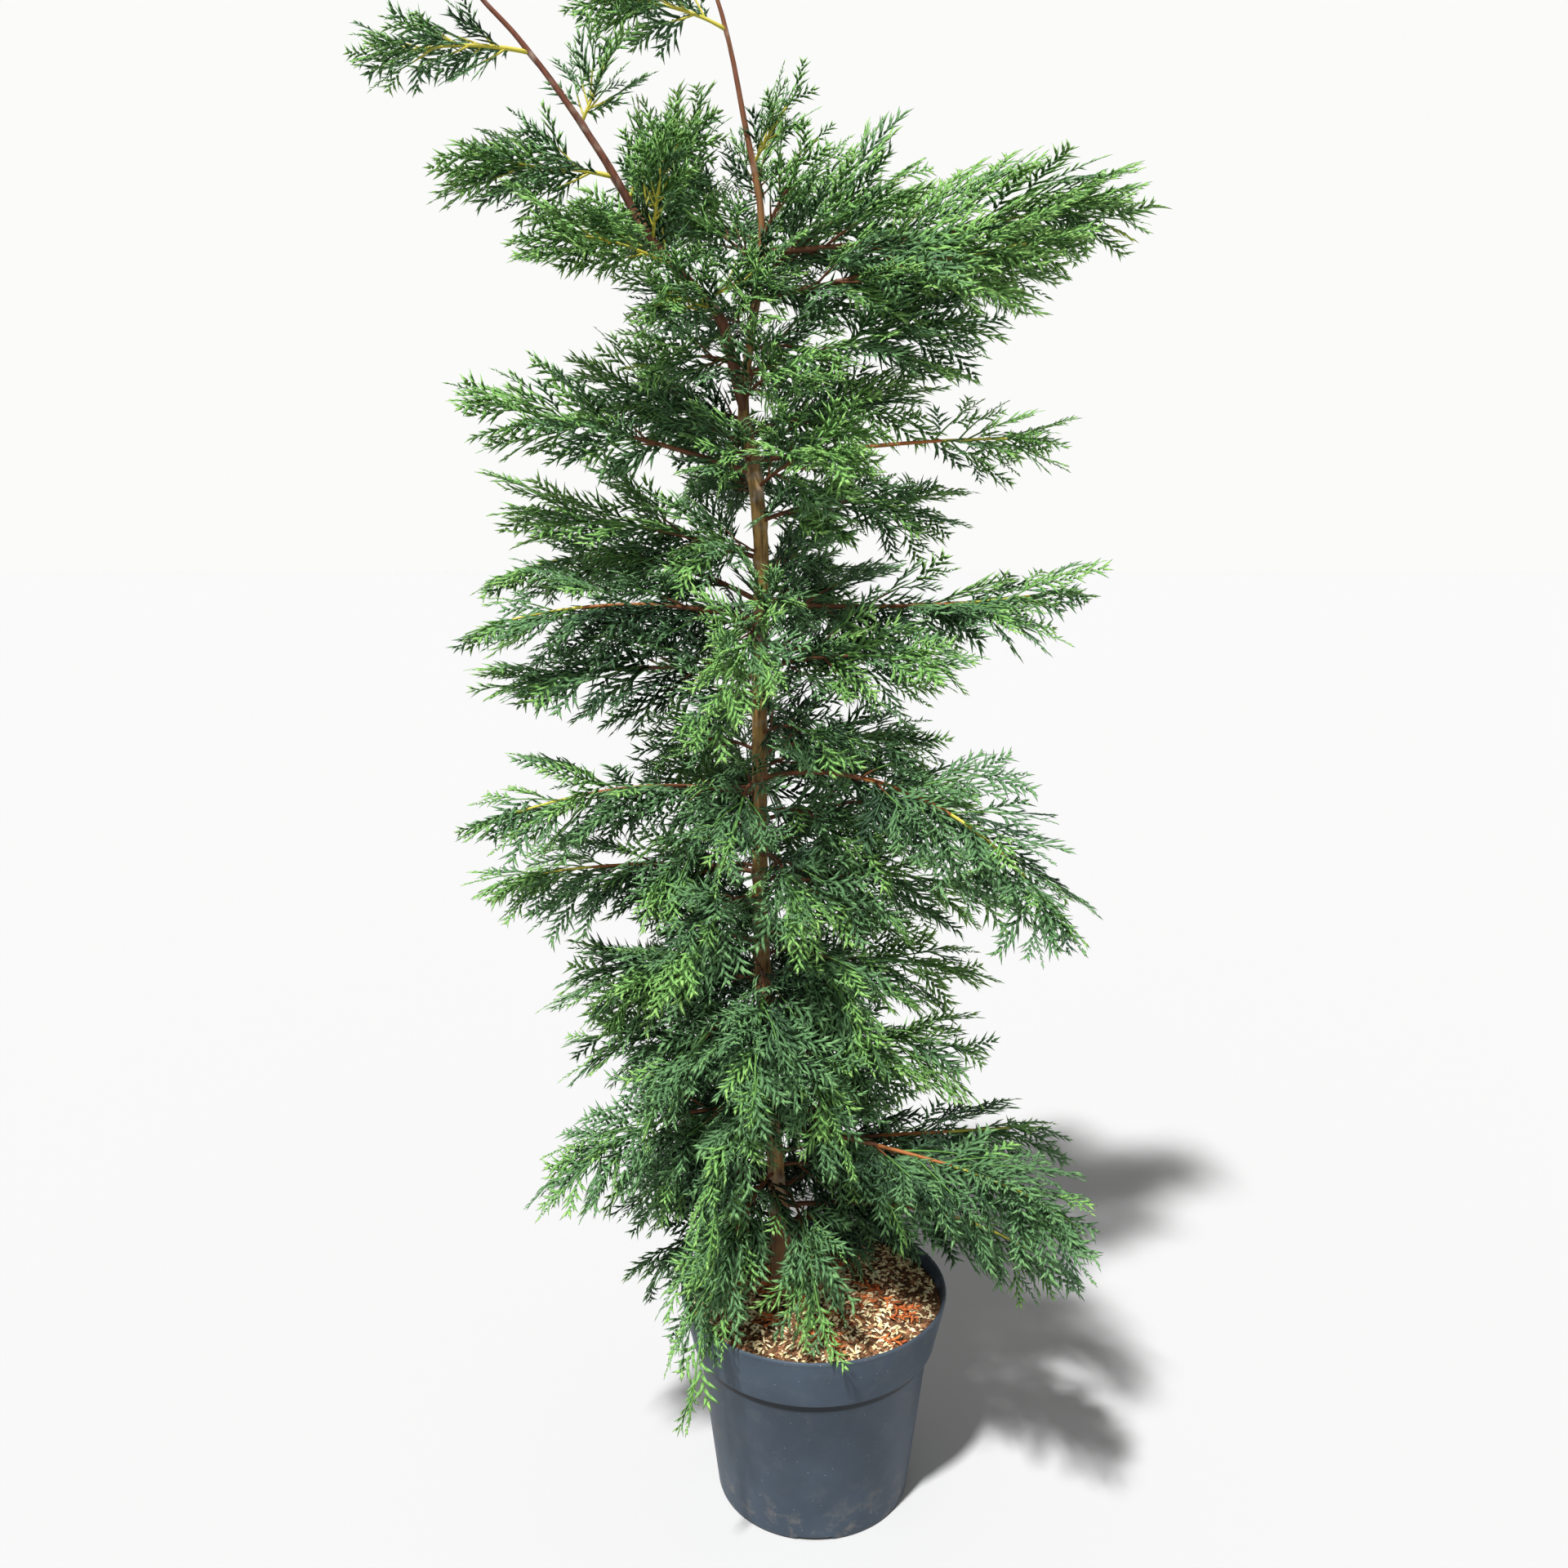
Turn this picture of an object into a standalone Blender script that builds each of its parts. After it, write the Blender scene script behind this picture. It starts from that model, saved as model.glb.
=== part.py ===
"""A young Leyland-type cypress in a round nursery pot, as separate named solids.

The pot, the compost in it, the trunk with its leader, the forked limb that
arches away from it, five bare boughs and fifty-one masses of foliage are each one
object. Metres, +Z up; the origin is the middle of the pot's flat underside.
Azimuth 0 points along +X, 90 along +Y.
"""

import math
import random
from collections import namedtuple

import bmesh
import bpy
from mathutils import Matrix, Vector
from mathutils.bvhtree import BVHTree

PARTS, CUTTERS = "potted_cypress", "cutters"    # the two collections

# ---------------------------------------------------------------- sizes, metres
GAP = 0.0003                    # air left between solids that touch

POT_HEIGHT = 0.303
RIM_RADIUS = 0.188
COLLAR_HEIGHT = 0.074           # the deep band under the rim
COLLAR_FOOT_RADIUS = 0.1725
WALL_TOP_RADIUS = 0.1640        # the wall, just under the collar's step
WALL_FOOT_RADIUS = 0.1360
WALL = 0.0028
FLOOR = 0.0040
LIP = 0.0045                    # thickness of the rolled rim
POT_STEPS = 32                  # sides of the turned pot and compost
NOTCHES = 4                     # drain notches round the foot
NOTCH_WIDTH, NOTCH_HEIGHT, NOTCH_DEPTH = 0.050, 0.006, 0.013

COMPOST_TOP = 0.290             # flat middle that the trunk stands on
COMPOST_EDGE = 0.283
COMPOST_FLAT_RADIUS = 0.100

# Trunk centre line: height, then how far it stands to +X and +Y.
TRUNK_LINE = (
    (0.29, -0.042, 0.000), (0.52, -0.056, 0.004), (0.81, -0.072, -0.004),
    (1.12, -0.074, 0.004), (1.32, -0.071, 0.000), (1.42, -0.079, -0.002),
    (1.51, -0.093, 0.000), (1.61, -0.080, 0.003), (1.72, -0.069, 0.000),
    (1.84, -0.090, -0.004), (1.95, -0.114, -0.006), (2.05, -0.150, -0.004),
)
TRUNK_FOOT_RADIUS = 0.0115
TRUNK_LOSS = 0.0035             # radius lost by slow taper, foot to tip
TRUNK_TIP_RADIUS = 0.0018
LEADER_SHARE = 0.62             # share of the height where the faster taper starts
FLARE = 0.0080                  # what the root flare adds at the ground
FLARE_HEIGHT = 0.055
FORK_LOSS = 0.0028              # radius the trunk loses where the limb forks off
FORK_HEIGHT = 1.500
TRUNK_RINGS = 24

# The forked limb's centre line: height, +X, +Y.
LIMB_LINE = (
    (1.490, -0.0905, 0.000), (1.560, -0.106, -0.016), (1.615, -0.124, -0.024),
    (1.690, -0.196, -0.036), (1.784, -0.254, -0.048), (1.861, -0.308, -0.058),
    (1.914, -0.352, -0.068), (1.950, -0.388, -0.076), (2.010, -0.436, -0.084),
)
LIMB_FOOT_RADIUS = 0.0078
LIMB_TIP_RADIUS = 0.0020
LIMB_RINGS = 14
LIMB_HIDDEN = 0.08              # share of its height that starts slim inside the trunk

# ------------------------------------------------------------- boughs and masses
# Each row is one bough, from its root on the trunk or the forked limb to the
# furthest tip of its foliage. Sizes are metres and degrees:
#   height   of the root above the floor
#   azimuth  the way it grows
#   reach    level distance from root to furthest tip
#   rise     how much higher the tip is than the root
#   arch     how far the middle stands above the straight line, as a share of reach
#   spread   length of its longest side sprays
#   bare     share of the bough with no foliage; above 0 it is a solid of its own
Bough = namedtuple("Bough", "name carrier height azimuth reach rise arch spread bare")
BOUGHS = tuple(Bough(*row) for row in (
    # round the leader
    ("leader_tip", "trunk", 2.050, 188, 0.045, 0.090, 0.00, 0.070, 0),
    ("leader_west", "trunk", 1.940, 184, 0.170, 0.020, 0.10, 0.100, 0),
    ("leader_east", "trunk", 1.790, 330, 0.070, 0.085, 0.05, 0.060, 0),
    # on the forked limb
    ("fork_tip", "limb", 2.010, 196, 0.080, 0.085, 0.00, 0.075, 0),
    ("fork_west_high", "limb", 1.895, 190, 0.200, -0.022, 0.06, 0.080, 0),
    ("fork_east_high", "limb", 1.822, 20, 0.055, 0.120, 0.00, 0.085, 0),
    ("fork_west_low", "limb", 1.765, 184, 0.190, -0.004, 0.06, 0.110, 0),
    ("fork_east_low", "limb", 1.720, 30, 0.090, 0.150, 0.02, 0.100, 0),
    ("fork_south", "limb", 1.665, 215, 0.190, 0.010, 0.08, 0.110, 0),
    # the wide plume to the east under the leader
    ("crown_east_high", "trunk", 1.690, 4, 0.475, 0.088, -0.03, 0.170, 0),
    ("crown_east_mid", "trunk", 1.635, 351, 0.400, 0.070, 0.00, 0.145, 0),
    ("crown_east_foot", "trunk", 1.545, 356, 0.270, 0.062, 0.03, 0.135, 0.34),
    ("crown_north_east", "trunk", 1.660, 38, 0.250, 0.165, 0.02, 0.145, 0),
    ("crown_north_west", "trunk", 1.700, 140, 0.190, 0.060, 0.05, 0.135, 0),
    # second tier
    ("mid_west_high", "trunk", 1.455, 166, 0.230, 0.095, 0.06, 0.120, 0),
    ("mid_west", "trunk", 1.425, 189, 0.360, 0.085, 0.02, 0.115, 0.24),
    ("mid_east", "trunk", 1.440, 3, 0.400, 0.030, 0.02, 0.085, 0.52),
    ("mid_north_east", "trunk", 1.455, 28, 0.270, 0.085, 0.05, 0.125, 0),
    ("mid_east_low", "trunk", 1.365, 22, 0.270, 0.000, 0.10, 0.120, 0),
    ("mid_south_east", "trunk", 1.405, 305, 0.190, 0.030, 0.10, 0.120, 0),
    ("mid_north", "trunk", 1.400, 105, 0.270, 0.040, 0.08, 0.140, 0),
    # third tier
    ("upper_west_high", "trunk", 1.318, 172, 0.340, 0.060, 0.04, 0.135, 0),
    ("upper_west_back", "trunk", 1.262, 160, 0.410, 0.020, 0.12, 0.125, 0),
    ("upper_west", "trunk", 1.238, 191, 0.385, -0.015, 0.08, 0.125, 0),
    ("upper_west_low", "trunk", 1.165, 186, 0.345, -0.012, 0.06, 0.130, 0),
    ("upper_east", "trunk", 1.262, 5, 0.432, 0.020, -0.03, 0.140, 0),
    ("upper_east_low", "trunk", 1.175, 338, 0.265, 0.005, 0.08, 0.120, 0),
    ("upper_south", "trunk", 1.215, 262, 0.215, -0.075, 0.22, 0.110, 0),
    ("upper_north", "trunk", 1.240, 72, 0.290, 0.035, 0.08, 0.140, 0),
    # fourth tier
    ("waist_west", "trunk", 1.010, 190, 0.385, -0.035, 0.08, 0.130, 0),
    ("waist_west_low", "trunk", 0.905, 173, 0.385, -0.035, 0.06, 0.135, 0),
    ("waist_east_high", "trunk", 1.065, 8, 0.240, 0.005, 0.08, 0.110, 0),
    ("waist_east", "trunk", 0.975, 8, 0.300, 0.012, 0.06, 0.125, 0),
    ("waist_droop", "trunk", 1.030, 320, 0.490, -0.140, 0.16, 0.135, 0.22),
    ("waist_east_low", "trunk", 0.880, 352, 0.330, -0.010, 0.10, 0.135, 0),
    ("waist_north", "trunk", 0.990, 98, 0.300, 0.020, 0.08, 0.140, 0),
    # fifth tier
    ("low_west", "trunk", 0.750, 176, 0.275, -0.005, 0.08, 0.135, 0),
    ("low_west_foot", "trunk", 0.640, 168, 0.270, 0.010, 0.06, 0.135, 0),
    ("low_east", "trunk", 0.760, 8, 0.290, -0.010, 0.08, 0.135, 0),
    ("low_east_foot", "trunk", 0.655, 352, 0.290, 0.010, 0.06, 0.135, 0),
    ("low_south", "trunk", 0.720, 268, 0.225, -0.060, 0.16, 0.125, 0),
    ("low_north", "trunk", 0.720, 88, 0.290, 0.000, 0.08, 0.145, 0),
    # round the foot, over the pot
    ("foot_west", "trunk", 0.560, 198, 0.330, -0.075, 0.14, 0.135, 0),
    ("foot_west_low", "trunk", 0.450, 158, 0.255, -0.040, 0.10, 0.125, 0),
    ("foot_south_west", "trunk", 0.470, 238, 0.270, -0.235, 0.30, 0.085, 0),
    ("foot_south", "trunk", 0.455, 290, 0.215, -0.150, 0.26, 0.115, 0),
    ("foot_plume", "trunk", 0.540, 331, 0.450, -0.040, 0.06, 0.155, 0.26),
    ("foot_east", "trunk", 0.500, 6, 0.410, 0.010, 0.04, 0.135, 0),
    ("foot_east_low", "trunk", 0.420, 355, 0.430, -0.090, 0.10, 0.130, 0),
    ("foot_north_east", "trunk", 0.440, 48, 0.330, -0.060, 0.10, 0.135, 0),
    ("foot_north", "trunk", 0.520, 118, 0.270, -0.020, 0.08, 0.140, 0),
))

BOUGH_FOOT_RADIUS = 0.0048      # a bough's radius at its root, for the longest
TWIG_TIP_RADIUS = 0.0010
LONGEST_REACH = 0.49
SWAY = 0.030                    # how far a bough weaves to its side, as a share of reach

STEM_RINGS = 5
SQUARE_END = 0.004              # straight length on each side of a bough's tip
SPRAYS_FEWEST = 4               # toothed fans on the shortest mass
SPRAYS_PER_METRE = 7.5          # more for each metre of reach
TIP_ROOT = 0.92                 # share of the stem where the fan at its tip is rooted
TIP_WIDTH = 0.62                # how much narrower the fan at a mass's tip is
SPRAY_THICKNESS = 0.032         # a fan's thickness as a share of its length
SHORTEST_SPRAY = 0.034
GOLDEN_ANGLE = 137.5            # turn from each spray to the next, round the stem
FAR = 0.35                      # limbs whose middle is further off than this aren't near
OWN_SPACE = 0.004               # a spray keeps this much nearer its own stem than any other
SEED = 20


# --------------------------------------------------------------------- materials
def material(name, colour, roughness):
    """A plain Principled material."""
    made = bpy.data.materials.new(name)
    made.use_nodes = True
    shader = made.node_tree.nodes["Principled BSDF"]
    shader.inputs["Base Color"].default_value = (*colour, 1.0)
    shader.inputs["Roughness"].default_value = roughness
    return made


# --------------------------------------------------------------- paths and rules
def between(line, height):
    """The smooth centre line's point at a height; line rows are height, x, y."""
    last = len(line) - 1
    i = next((k for k in range(last) if height <= line[k + 1][0]), last - 1)
    (z0, *a), (z1, *b) = line[i], line[i + 1]
    before, after = line[max(i - 1, 0)], line[min(i + 2, last)]
    t = (height - z0) / (z1 - z0)
    point = []
    for axis in (0, 1):
        slope0 = (b[axis] - before[axis + 1]) / (z1 - before[0]) * (z1 - z0)
        slope1 = (after[axis + 1] - a[axis]) / (after[0] - z0) * (z1 - z0)
        point.append((2 * t**3 - 3 * t**2 + 1) * a[axis] + (t**3 - 2 * t**2 + t) * slope0
                     + (3 * t**2 - 2 * t**3) * b[axis] + (t**3 - t**2) * slope1)
    return Vector((*point, height))


def trunk_radius(height):
    """The trunk's true taper: a slow run, the root flare, a step at the fork, a fine leader."""
    foot, tip = TRUNK_LINE[0][0], TRUNK_LINE[-1][0]
    share = (height - foot) / (tip - foot)
    flare = FLARE * math.exp(-(height - foot) / FLARE_HEIGHT)
    loss = FORK_LOSS / (1 + math.exp(-(height - FORK_HEIGHT) / 0.02))
    slow = TRUNK_FOOT_RADIUS - TRUNK_LOSS * share - loss
    leader = max(0.0, share - LEADER_SHARE) / (1 - LEADER_SHARE)
    return slow + flare - (slow - TRUNK_TIP_RADIUS) * leader ** 1.5


def limb_radius(height):
    """The forked limb's taper."""
    foot, tip = LIMB_LINE[0][0], LIMB_LINE[-1][0]
    share = (height - foot) / (tip - foot)
    hidden = 0.5 * max(0.0, 1 - share / LIMB_HIDDEN)
    return (LIMB_FOOT_RADIUS + (LIMB_TIP_RADIUS - LIMB_FOOT_RADIUS) * share) * (1 - hidden)


CARRIERS = {"trunk": (TRUNK_LINE, trunk_radius), "limb": (LIMB_LINE, limb_radius)}
RINGS = {"trunk": TRUNK_RINGS, "limb": LIMB_RINGS}


def bough_point(row, share):
    """A point on a bough's centre line, at a share of its reach."""
    line, _ = CARRIERS[row.carrier]
    angle = math.radians(row.azimuth)
    out = Vector((math.cos(angle), math.sin(angle), 0))
    side = Vector((-math.sin(angle), math.cos(angle), 0))
    turn = math.sin(2.2 * math.pi * share + row.height * 40)
    height = row.rise * share + row.arch * row.reach * 4 * share * (1 - share)
    point = between(line, row.height) + out * row.reach * share
    return point + side * (SWAY * row.reach * share * turn) + Vector((0, 0, height))


def bough_radius(row, share):
    """A bough tapers evenly from its root, and a longer one is thicker."""
    foot = BOUGH_FOOT_RADIUS * (0.45 + 0.55 * row.reach / LONGEST_REACH)
    return foot + (TWIG_TIP_RADIUS - foot) * share


def ends_its_carrier(row):
    """Whether a bough goes on from the very tip of its carrier, and not from its side."""
    return row.height >= CARRIERS[row.carrier][0][-1][0]


def offset(point, a, b):
    """The shortest way to a point from the straight run between two others."""
    along = b - a
    t = max(0.0, min(1.0, (point - a).dot(along) / along.length_squared))
    return point - a - along * t


def distance(point, line):
    """The distance from a point to a line of straight runs."""
    return min(offset(point, a, b).length for a, b in zip(line[:-1], line[1:]))


def heading(row, share):
    """The way a bough heads at a share of its reach."""
    return (bough_point(row, share + 0.01) - bough_point(row, share - 0.01)).normalized()


def spray_length(row, share):
    """Side sprays are longest at two fifths of the foliage and short at its ends."""
    t = (share - row.bare) / (1 - row.bare)
    return row.spread * (0.82 + 1.0 * t - 1.35 * t * t)


# --------------------------------------------------------------- making of solids
def place(name, mesh, finish, collection=PARTS):
    """A named object holding a mesh, in a collection."""
    mesh.materials.clear()
    mesh.materials.append(finish)
    made = bpy.data.objects.new(name, mesh)
    bpy.data.collections[collection].objects.link(made)
    return made


def place_cutter(name, data):
    """A cutter or a guide, which is drawn as wire and left out of the renders."""
    made = bpy.data.objects.new(name, data)
    made.hide_render = True
    made.display_type = "WIRE"
    bpy.data.collections[CUTTERS].objects.link(made)
    return made


def tube(name, points, radii, profile=None, resolution=3):
    """A tapered round or profiled limb: a poly curve, bevelled and capped, as a mesh."""
    curve = bpy.data.curves.new(name, "CURVE")
    curve.dimensions = "3D"
    curve.use_fill_caps = True
    if profile is None:
        curve.bevel_depth = 1.0
        curve.bevel_resolution = resolution
    else:
        curve.bevel_mode = "OBJECT"
        curve.bevel_object = profile
    spline = curve.splines.new("POLY")
    spline.points.add(len(points) - 1)
    for knot, point, radius in zip(spline.points, points, radii):
        knot.co = (*point, 1)
        knot.radius = radius
    holder = bpy.data.objects.new(name, curve)
    bpy.context.scene.collection.objects.link(holder)
    bpy.context.view_layer.update()
    graph = bpy.context.evaluated_depsgraph_get()
    mesh = bpy.data.meshes.new_from_object(holder.evaluated_get(graph))
    bpy.data.objects.remove(holder)
    body = bmesh.new()
    body.from_mesh(mesh)
    bmesh.ops.remove_doubles(body, verts=body.verts, dist=1e-6)
    bmesh.ops.recalc_face_normals(body, faces=body.faces)
    body.to_mesh(mesh)
    body.free()
    mesh.name = name
    return mesh


def triangle_profile():
    """The three-sided section of a twig, of radius one."""
    curve = bpy.data.curves.new("twig_section", "CURVE")
    curve.dimensions = "2D"
    spline = curve.splines.new("POLY")
    spline.points.add(2)
    for k, knot in enumerate(spline.points):
        angle = math.radians(90 + 120 * k)
        knot.co = (math.cos(angle), math.sin(angle), 0, 1)
    spline.use_cyclic_u = True
    return place_cutter("twig_section", curve)


# Half of a spray's toothed outline, root to tip, as shares of its length.
TOOTHED = ((0.30, 0.42), (0.46, 0.24), (0.74, 0.34), (0.68, 0.14))
MIDDLE = 0.50                   # where its ridge is highest


def spray_mesh(name, length, width):
    """A flat toothed fan along +X with its root at the origin, thickest in the middle."""
    outline = [(0.0, 0.0), *TOOTHED, (1.0, 0.0)] + [(x, -y) for x, y in reversed(TOOTHED)]
    body = bmesh.new()
    bmesh.ops.create_uvsphere(body, u_segments=len(outline), v_segments=2, radius=1)
    ring = [v for v in body.verts if abs(v.co.z) < 0.5]
    ring.sort(key=lambda v: (math.pi - math.atan2(v.co.y, v.co.x)) % math.tau)
    for vertex, (x, y) in zip(ring, outline):
        vertex.co = (x * length, y * length * width, 0)
    for vertex in set(body.verts) - set(ring):
        lift = math.copysign(SPRAY_THICKNESS * length / 2, vertex.co.z)
        vertex.co = (MIDDLE * length, 0, lift)
    bmesh.ops.recalc_face_normals(body, faces=body.faces)
    mesh = bpy.data.meshes.new(name)
    body.to_mesh(mesh)
    body.free()
    return mesh


def edge_points(matrix, length, width):
    """Points round a placed spray's outline, for the test of whose space it is in."""
    halves = [(x, side * y) for x, y in TOOTHED for side in (-1, 1)]
    halves += [(1.0, 0.0), (0.8, 0.0), (0.45, 0.30), (0.45, -0.30)]
    return [matrix @ Vector((x * length, y * length * width, 0)) for x, y in halves]


def on_stem(stem, t):
    """The point a share of the way along a stem's straight runs, and the way it heads."""
    place_on = t * (len(stem) - 1)
    i = min(int(place_on), len(stem) - 2)
    return stem[i].lerp(stem[i + 1], place_on - i), (stem[i + 1] - stem[i]).normalized()


def spray_places(row, stem, stem_end, chance):
    """Where a mass's side sprays stand: a share of its stem, the way each points, its length."""
    count = round(SPRAYS_FEWEST + SPRAYS_PER_METRE * row.reach) - 1
    places = []
    turn = chance.uniform(0, 360)
    for k in range(count):
        t = (k + 1.0) / (count + 0.7)
        _, ahead = on_stem(stem, t)
        level = ahead.cross(Vector((0, 0, 1))).normalized()
        upward = level.cross(ahead)
        around = math.radians(turn + GOLDEN_ANGLE * k)
        side = level * math.cos(around) + upward * math.sin(around)
        open_angle = math.radians(chance.uniform(38, 52) - 16 * k / count)
        way = ahead * math.cos(open_angle) + side * math.sin(open_angle)
        places.append((t, way, spray_length(row, row.bare + (stem_end - row.bare) * t)))
    return places


def facing(point, way, roll):
    """The matrix that stands a blade at a point, along a way, rolled about it."""
    across = Vector((0, 0, 1)).cross(way)
    if across.length < 0.05:
        across = Vector((1, 0, 0))
    across.normalize()
    across = Matrix.Rotation(math.radians(roll), 3, way) @ across
    turn = Matrix((way, across, way.cross(across))).transposed().to_4x4()
    return Matrix.Translation(point) @ turn


def in_own_space(row, points, lines):
    """Whether every point is nearer this bough than any other limb."""
    own = lines[row.name][1]
    for point in points:
        mine = distance(point, own) + OWN_SPACE
        for name, (thick, line) in lines.items():
            if name == row.name or (point - line[len(line) // 2]).length > mine + thick + FAR:
                continue
            if distance(point, line) - thick < mine:
                return False
    return True


def skin(mesh, matrix=None):
    """A mesh's faces as a tree that shows what touches them, with the gap around them."""
    corners = [matrix @ v.co if matrix else v.co for v in mesh.vertices]
    return BVHTree.FromPolygons(corners, [p.vertices for p in mesh.polygons], epsilon=GAP)


def fitted_spray(row, root, way, size, lines, built, chance):
    """A fan in its own space and clear of what is built, with its placing, or None."""
    length, width = size
    roll = chance.choice((-1, 1)) * chance.uniform(30, 85)
    while length > SHORTEST_SPRAY:
        mesh = spray_mesh("spray", length, width)
        for turn in (0, 60, 120):
            matrix = facing(root, way, roll + turn)
            if in_own_space(row, edge_points(matrix, length, width), lines):
                fan = skin(mesh, matrix)
                if not any(fan.overlap(solid) for solid in built):
                    return mesh, matrix
        length *= 0.85
    return None


# ------------------------------------------------------------------------- pieces
def turned(name, profile, finish):
    """A profile of radius and height, outer side from top to bottom, turned about +Z."""
    mesh = bpy.data.meshes.new(name)
    body = bmesh.new()
    ring = [body.verts.new((x, 0, z)) for x, z in profile]
    for a, b in zip(ring[:-1], ring[1:]):
        body.edges.new((a, b))
    body.to_mesh(mesh)
    body.free()
    made = place(name, mesh, finish)
    turn = made.modifiers.new("turned", "SCREW")
    turn.steps = turn.render_steps = POT_STEPS
    turn.use_merge_vertices = True
    turn.merge_threshold = 1e-5
    return made


def make_pot(finish):
    """A turned shell with a deep collar, a rolled rim and notches round its foot."""
    step = POT_HEIGHT - COLLAR_HEIGHT
    inner_foot = WALL_FOOT_RADIUS - WALL
    pot = turned("pot", (
        (0.0, FLOOR), (inner_foot - 0.004, FLOOR), (inner_foot, FLOOR + 0.004),
        (WALL_TOP_RADIUS - WALL, step - 0.004), (COLLAR_FOOT_RADIUS - WALL, step + 0.003),
        (RIM_RADIUS - LIP, POT_HEIGHT - 0.006), (RIM_RADIUS - LIP, POT_HEIGHT - 0.001),
        (RIM_RADIUS - 0.6 * LIP, POT_HEIGHT), (RIM_RADIUS - 0.2 * LIP, POT_HEIGHT - 0.0008),
        (RIM_RADIUS, POT_HEIGHT - 0.003), (COLLAR_FOOT_RADIUS, step + 0.001),
        (COLLAR_FOOT_RADIUS - 0.001, step), (WALL_TOP_RADIUS, step - 0.001),
        (WALL_FOOT_RADIUS + 0.001, 0.008), (WALL_FOOT_RADIUS - 0.003, 0.0), (0.0, 0.0),
    ), finish)
    block = bpy.data.meshes.new("notch")
    body = bmesh.new()
    bmesh.ops.create_cube(body, size=1)
    body.to_mesh(block)
    body.free()
    for k in range(NOTCHES):
        angle = math.radians(-90 + 360 * k / NOTCHES)
        cutter = place_cutter(f"notch_{k}", block)
        cutter.scale = (2 * NOTCH_DEPTH, NOTCH_WIDTH, 2 * NOTCH_HEIGHT)
        cutter.rotation_euler.z = angle
        cutter.location = (math.cos(angle) * WALL_FOOT_RADIUS,
                           math.sin(angle) * WALL_FOOT_RADIUS, 0)
        cut = pot.modifiers.new(f"notch_{k}", "BOOLEAN")
        cut.operation = "DIFFERENCE"
        cut.object = cutter


def make_compost(finish):
    """The root ball of compost that fills the pot, with a flat middle."""
    step = POT_HEIGHT - COLLAR_HEIGHT
    wall = WALL + GAP
    slope = (RIM_RADIUS - LIP - COLLAR_FOOT_RADIUS + WALL) / (COLLAR_HEIGHT - 0.009)
    edge = COLLAR_FOOT_RADIUS - wall + slope * (COMPOST_EDGE - step - 0.003)
    turned("compost", (
        (0.0, COMPOST_TOP), (COMPOST_FLAT_RADIUS, COMPOST_TOP),
        (edge - 0.015, COMPOST_EDGE + 0.002), (edge, COMPOST_EDGE),
        (COLLAR_FOOT_RADIUS - wall, step + 0.0034), (WALL_TOP_RADIUS - wall, step - 0.0036),
        (WALL_FOOT_RADIUS - wall, FLOOR + 0.0045), (WALL_FOOT_RADIUS - wall - 0.004, FLOOR + GAP),
        (0.0, FLOOR + GAP),
    ), finish)


def rings(line, radius, count, grow=0.0):
    """Evenly spread points and radii up a centre line, closer together at its foot."""
    low, high = line[0][0], line[-1][0]
    heights = [low + (high - low) * (k / (count - 1)) ** 1.35 for k in range(count)]
    points = [between(line, h) for h in heights]
    radii = [radius(h) + grow for h in heights]
    # An upright first step keeps the cut at the foot level.
    points[0].z += GAP
    points.insert(1, points[0] + Vector((0, 0, SQUARE_END)))
    radii.insert(1, radius(low + SQUARE_END) + grow)
    return points, radii


def make_trunk(finish):
    """The trunk, whole from its flat cut on the compost to the leader's tip."""
    points, radii = rings(TRUNK_LINE, trunk_radius, TRUNK_RINGS)
    place("trunk", tube("trunk", points, radii), finish)


def clearance(carrier):
    """A carrier made a hair thicker, which cuts whatever grows out of it to fit."""
    name = f"{carrier}_clearance"
    points, radii = rings(*CARRIERS[carrier], RINGS[carrier], grow=GAP)
    place_cutter(name, tube(name, points, radii))


def cut_clear(target, carrier):
    """Cuts a piece clear of the limb that carries it."""
    cut = target.modifiers.new("clear", "BOOLEAN")
    cut.operation = "DIFFERENCE"
    cut.object = bpy.data.objects[f"{carrier}_clearance"]


def make_limb(finish):
    """The forked limb, its root fitted to the trunk."""
    points, radii = rings(LIMB_LINE, limb_radius, LIMB_RINGS)
    limb = place("forked_limb", tube("forked_limb", points, radii), finish)
    cut_clear(limb, "trunk")


def make_bough(row, finish):
    """The bare length of a bough, from the trunk to where its foliage begins."""
    name = f"bough_{row.name}"
    points = run_points(row, 0, row.bare)
    points.insert(-1, points[-1] - heading(row, row.bare) * SQUARE_END)
    radii = [bough_radius(row, row.bare * k / (len(points) - 1)) for k in range(len(points))]
    # The root swells into a collar where it leaves the trunk.
    radii[0] *= 1.5
    bough = place(name, tube(name, points, radii, resolution=1), finish)
    cut_clear(bough, row.carrier)


def run_points(row, start, end):
    """The straight runs that a bough, or a mass's stem, is drawn with."""
    step = (end - start) / (STEM_RINGS - 1)
    return [bough_point(row, start + step * k) for k in range(STEM_RINGS)]


def stem_points(row, start, stem_end):
    """A mass's stem, which starts square to its own way, as the bough before it ends."""
    points = run_points(row, start, stem_end)
    ahead = heading(row, start)
    if row.bare or ends_its_carrier(row):
        points[0] += ahead * GAP
    points.insert(1, points[0] + ahead * SQUARE_END)
    return points


def one_body(mesh):
    """Drops every loose scrap, leaving the piece with the most corners."""
    body = bmesh.new()
    body.from_mesh(mesh)
    left = set(body.verts)
    islands = []
    while left:
        island = {left.pop()}
        edge = list(island)
        while edge:
            near = {e.other_vert(v) for v in edge for e in v.link_edges} - island
            island |= near
            edge = list(near)
        left -= island
        islands.append(island)
    islands.sort(key=len)
    for island in islands[:-1]:
        bmesh.ops.delete(body, geom=list(island), context="VERTS")
    body.to_mesh(mesh)
    body.free()


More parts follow.
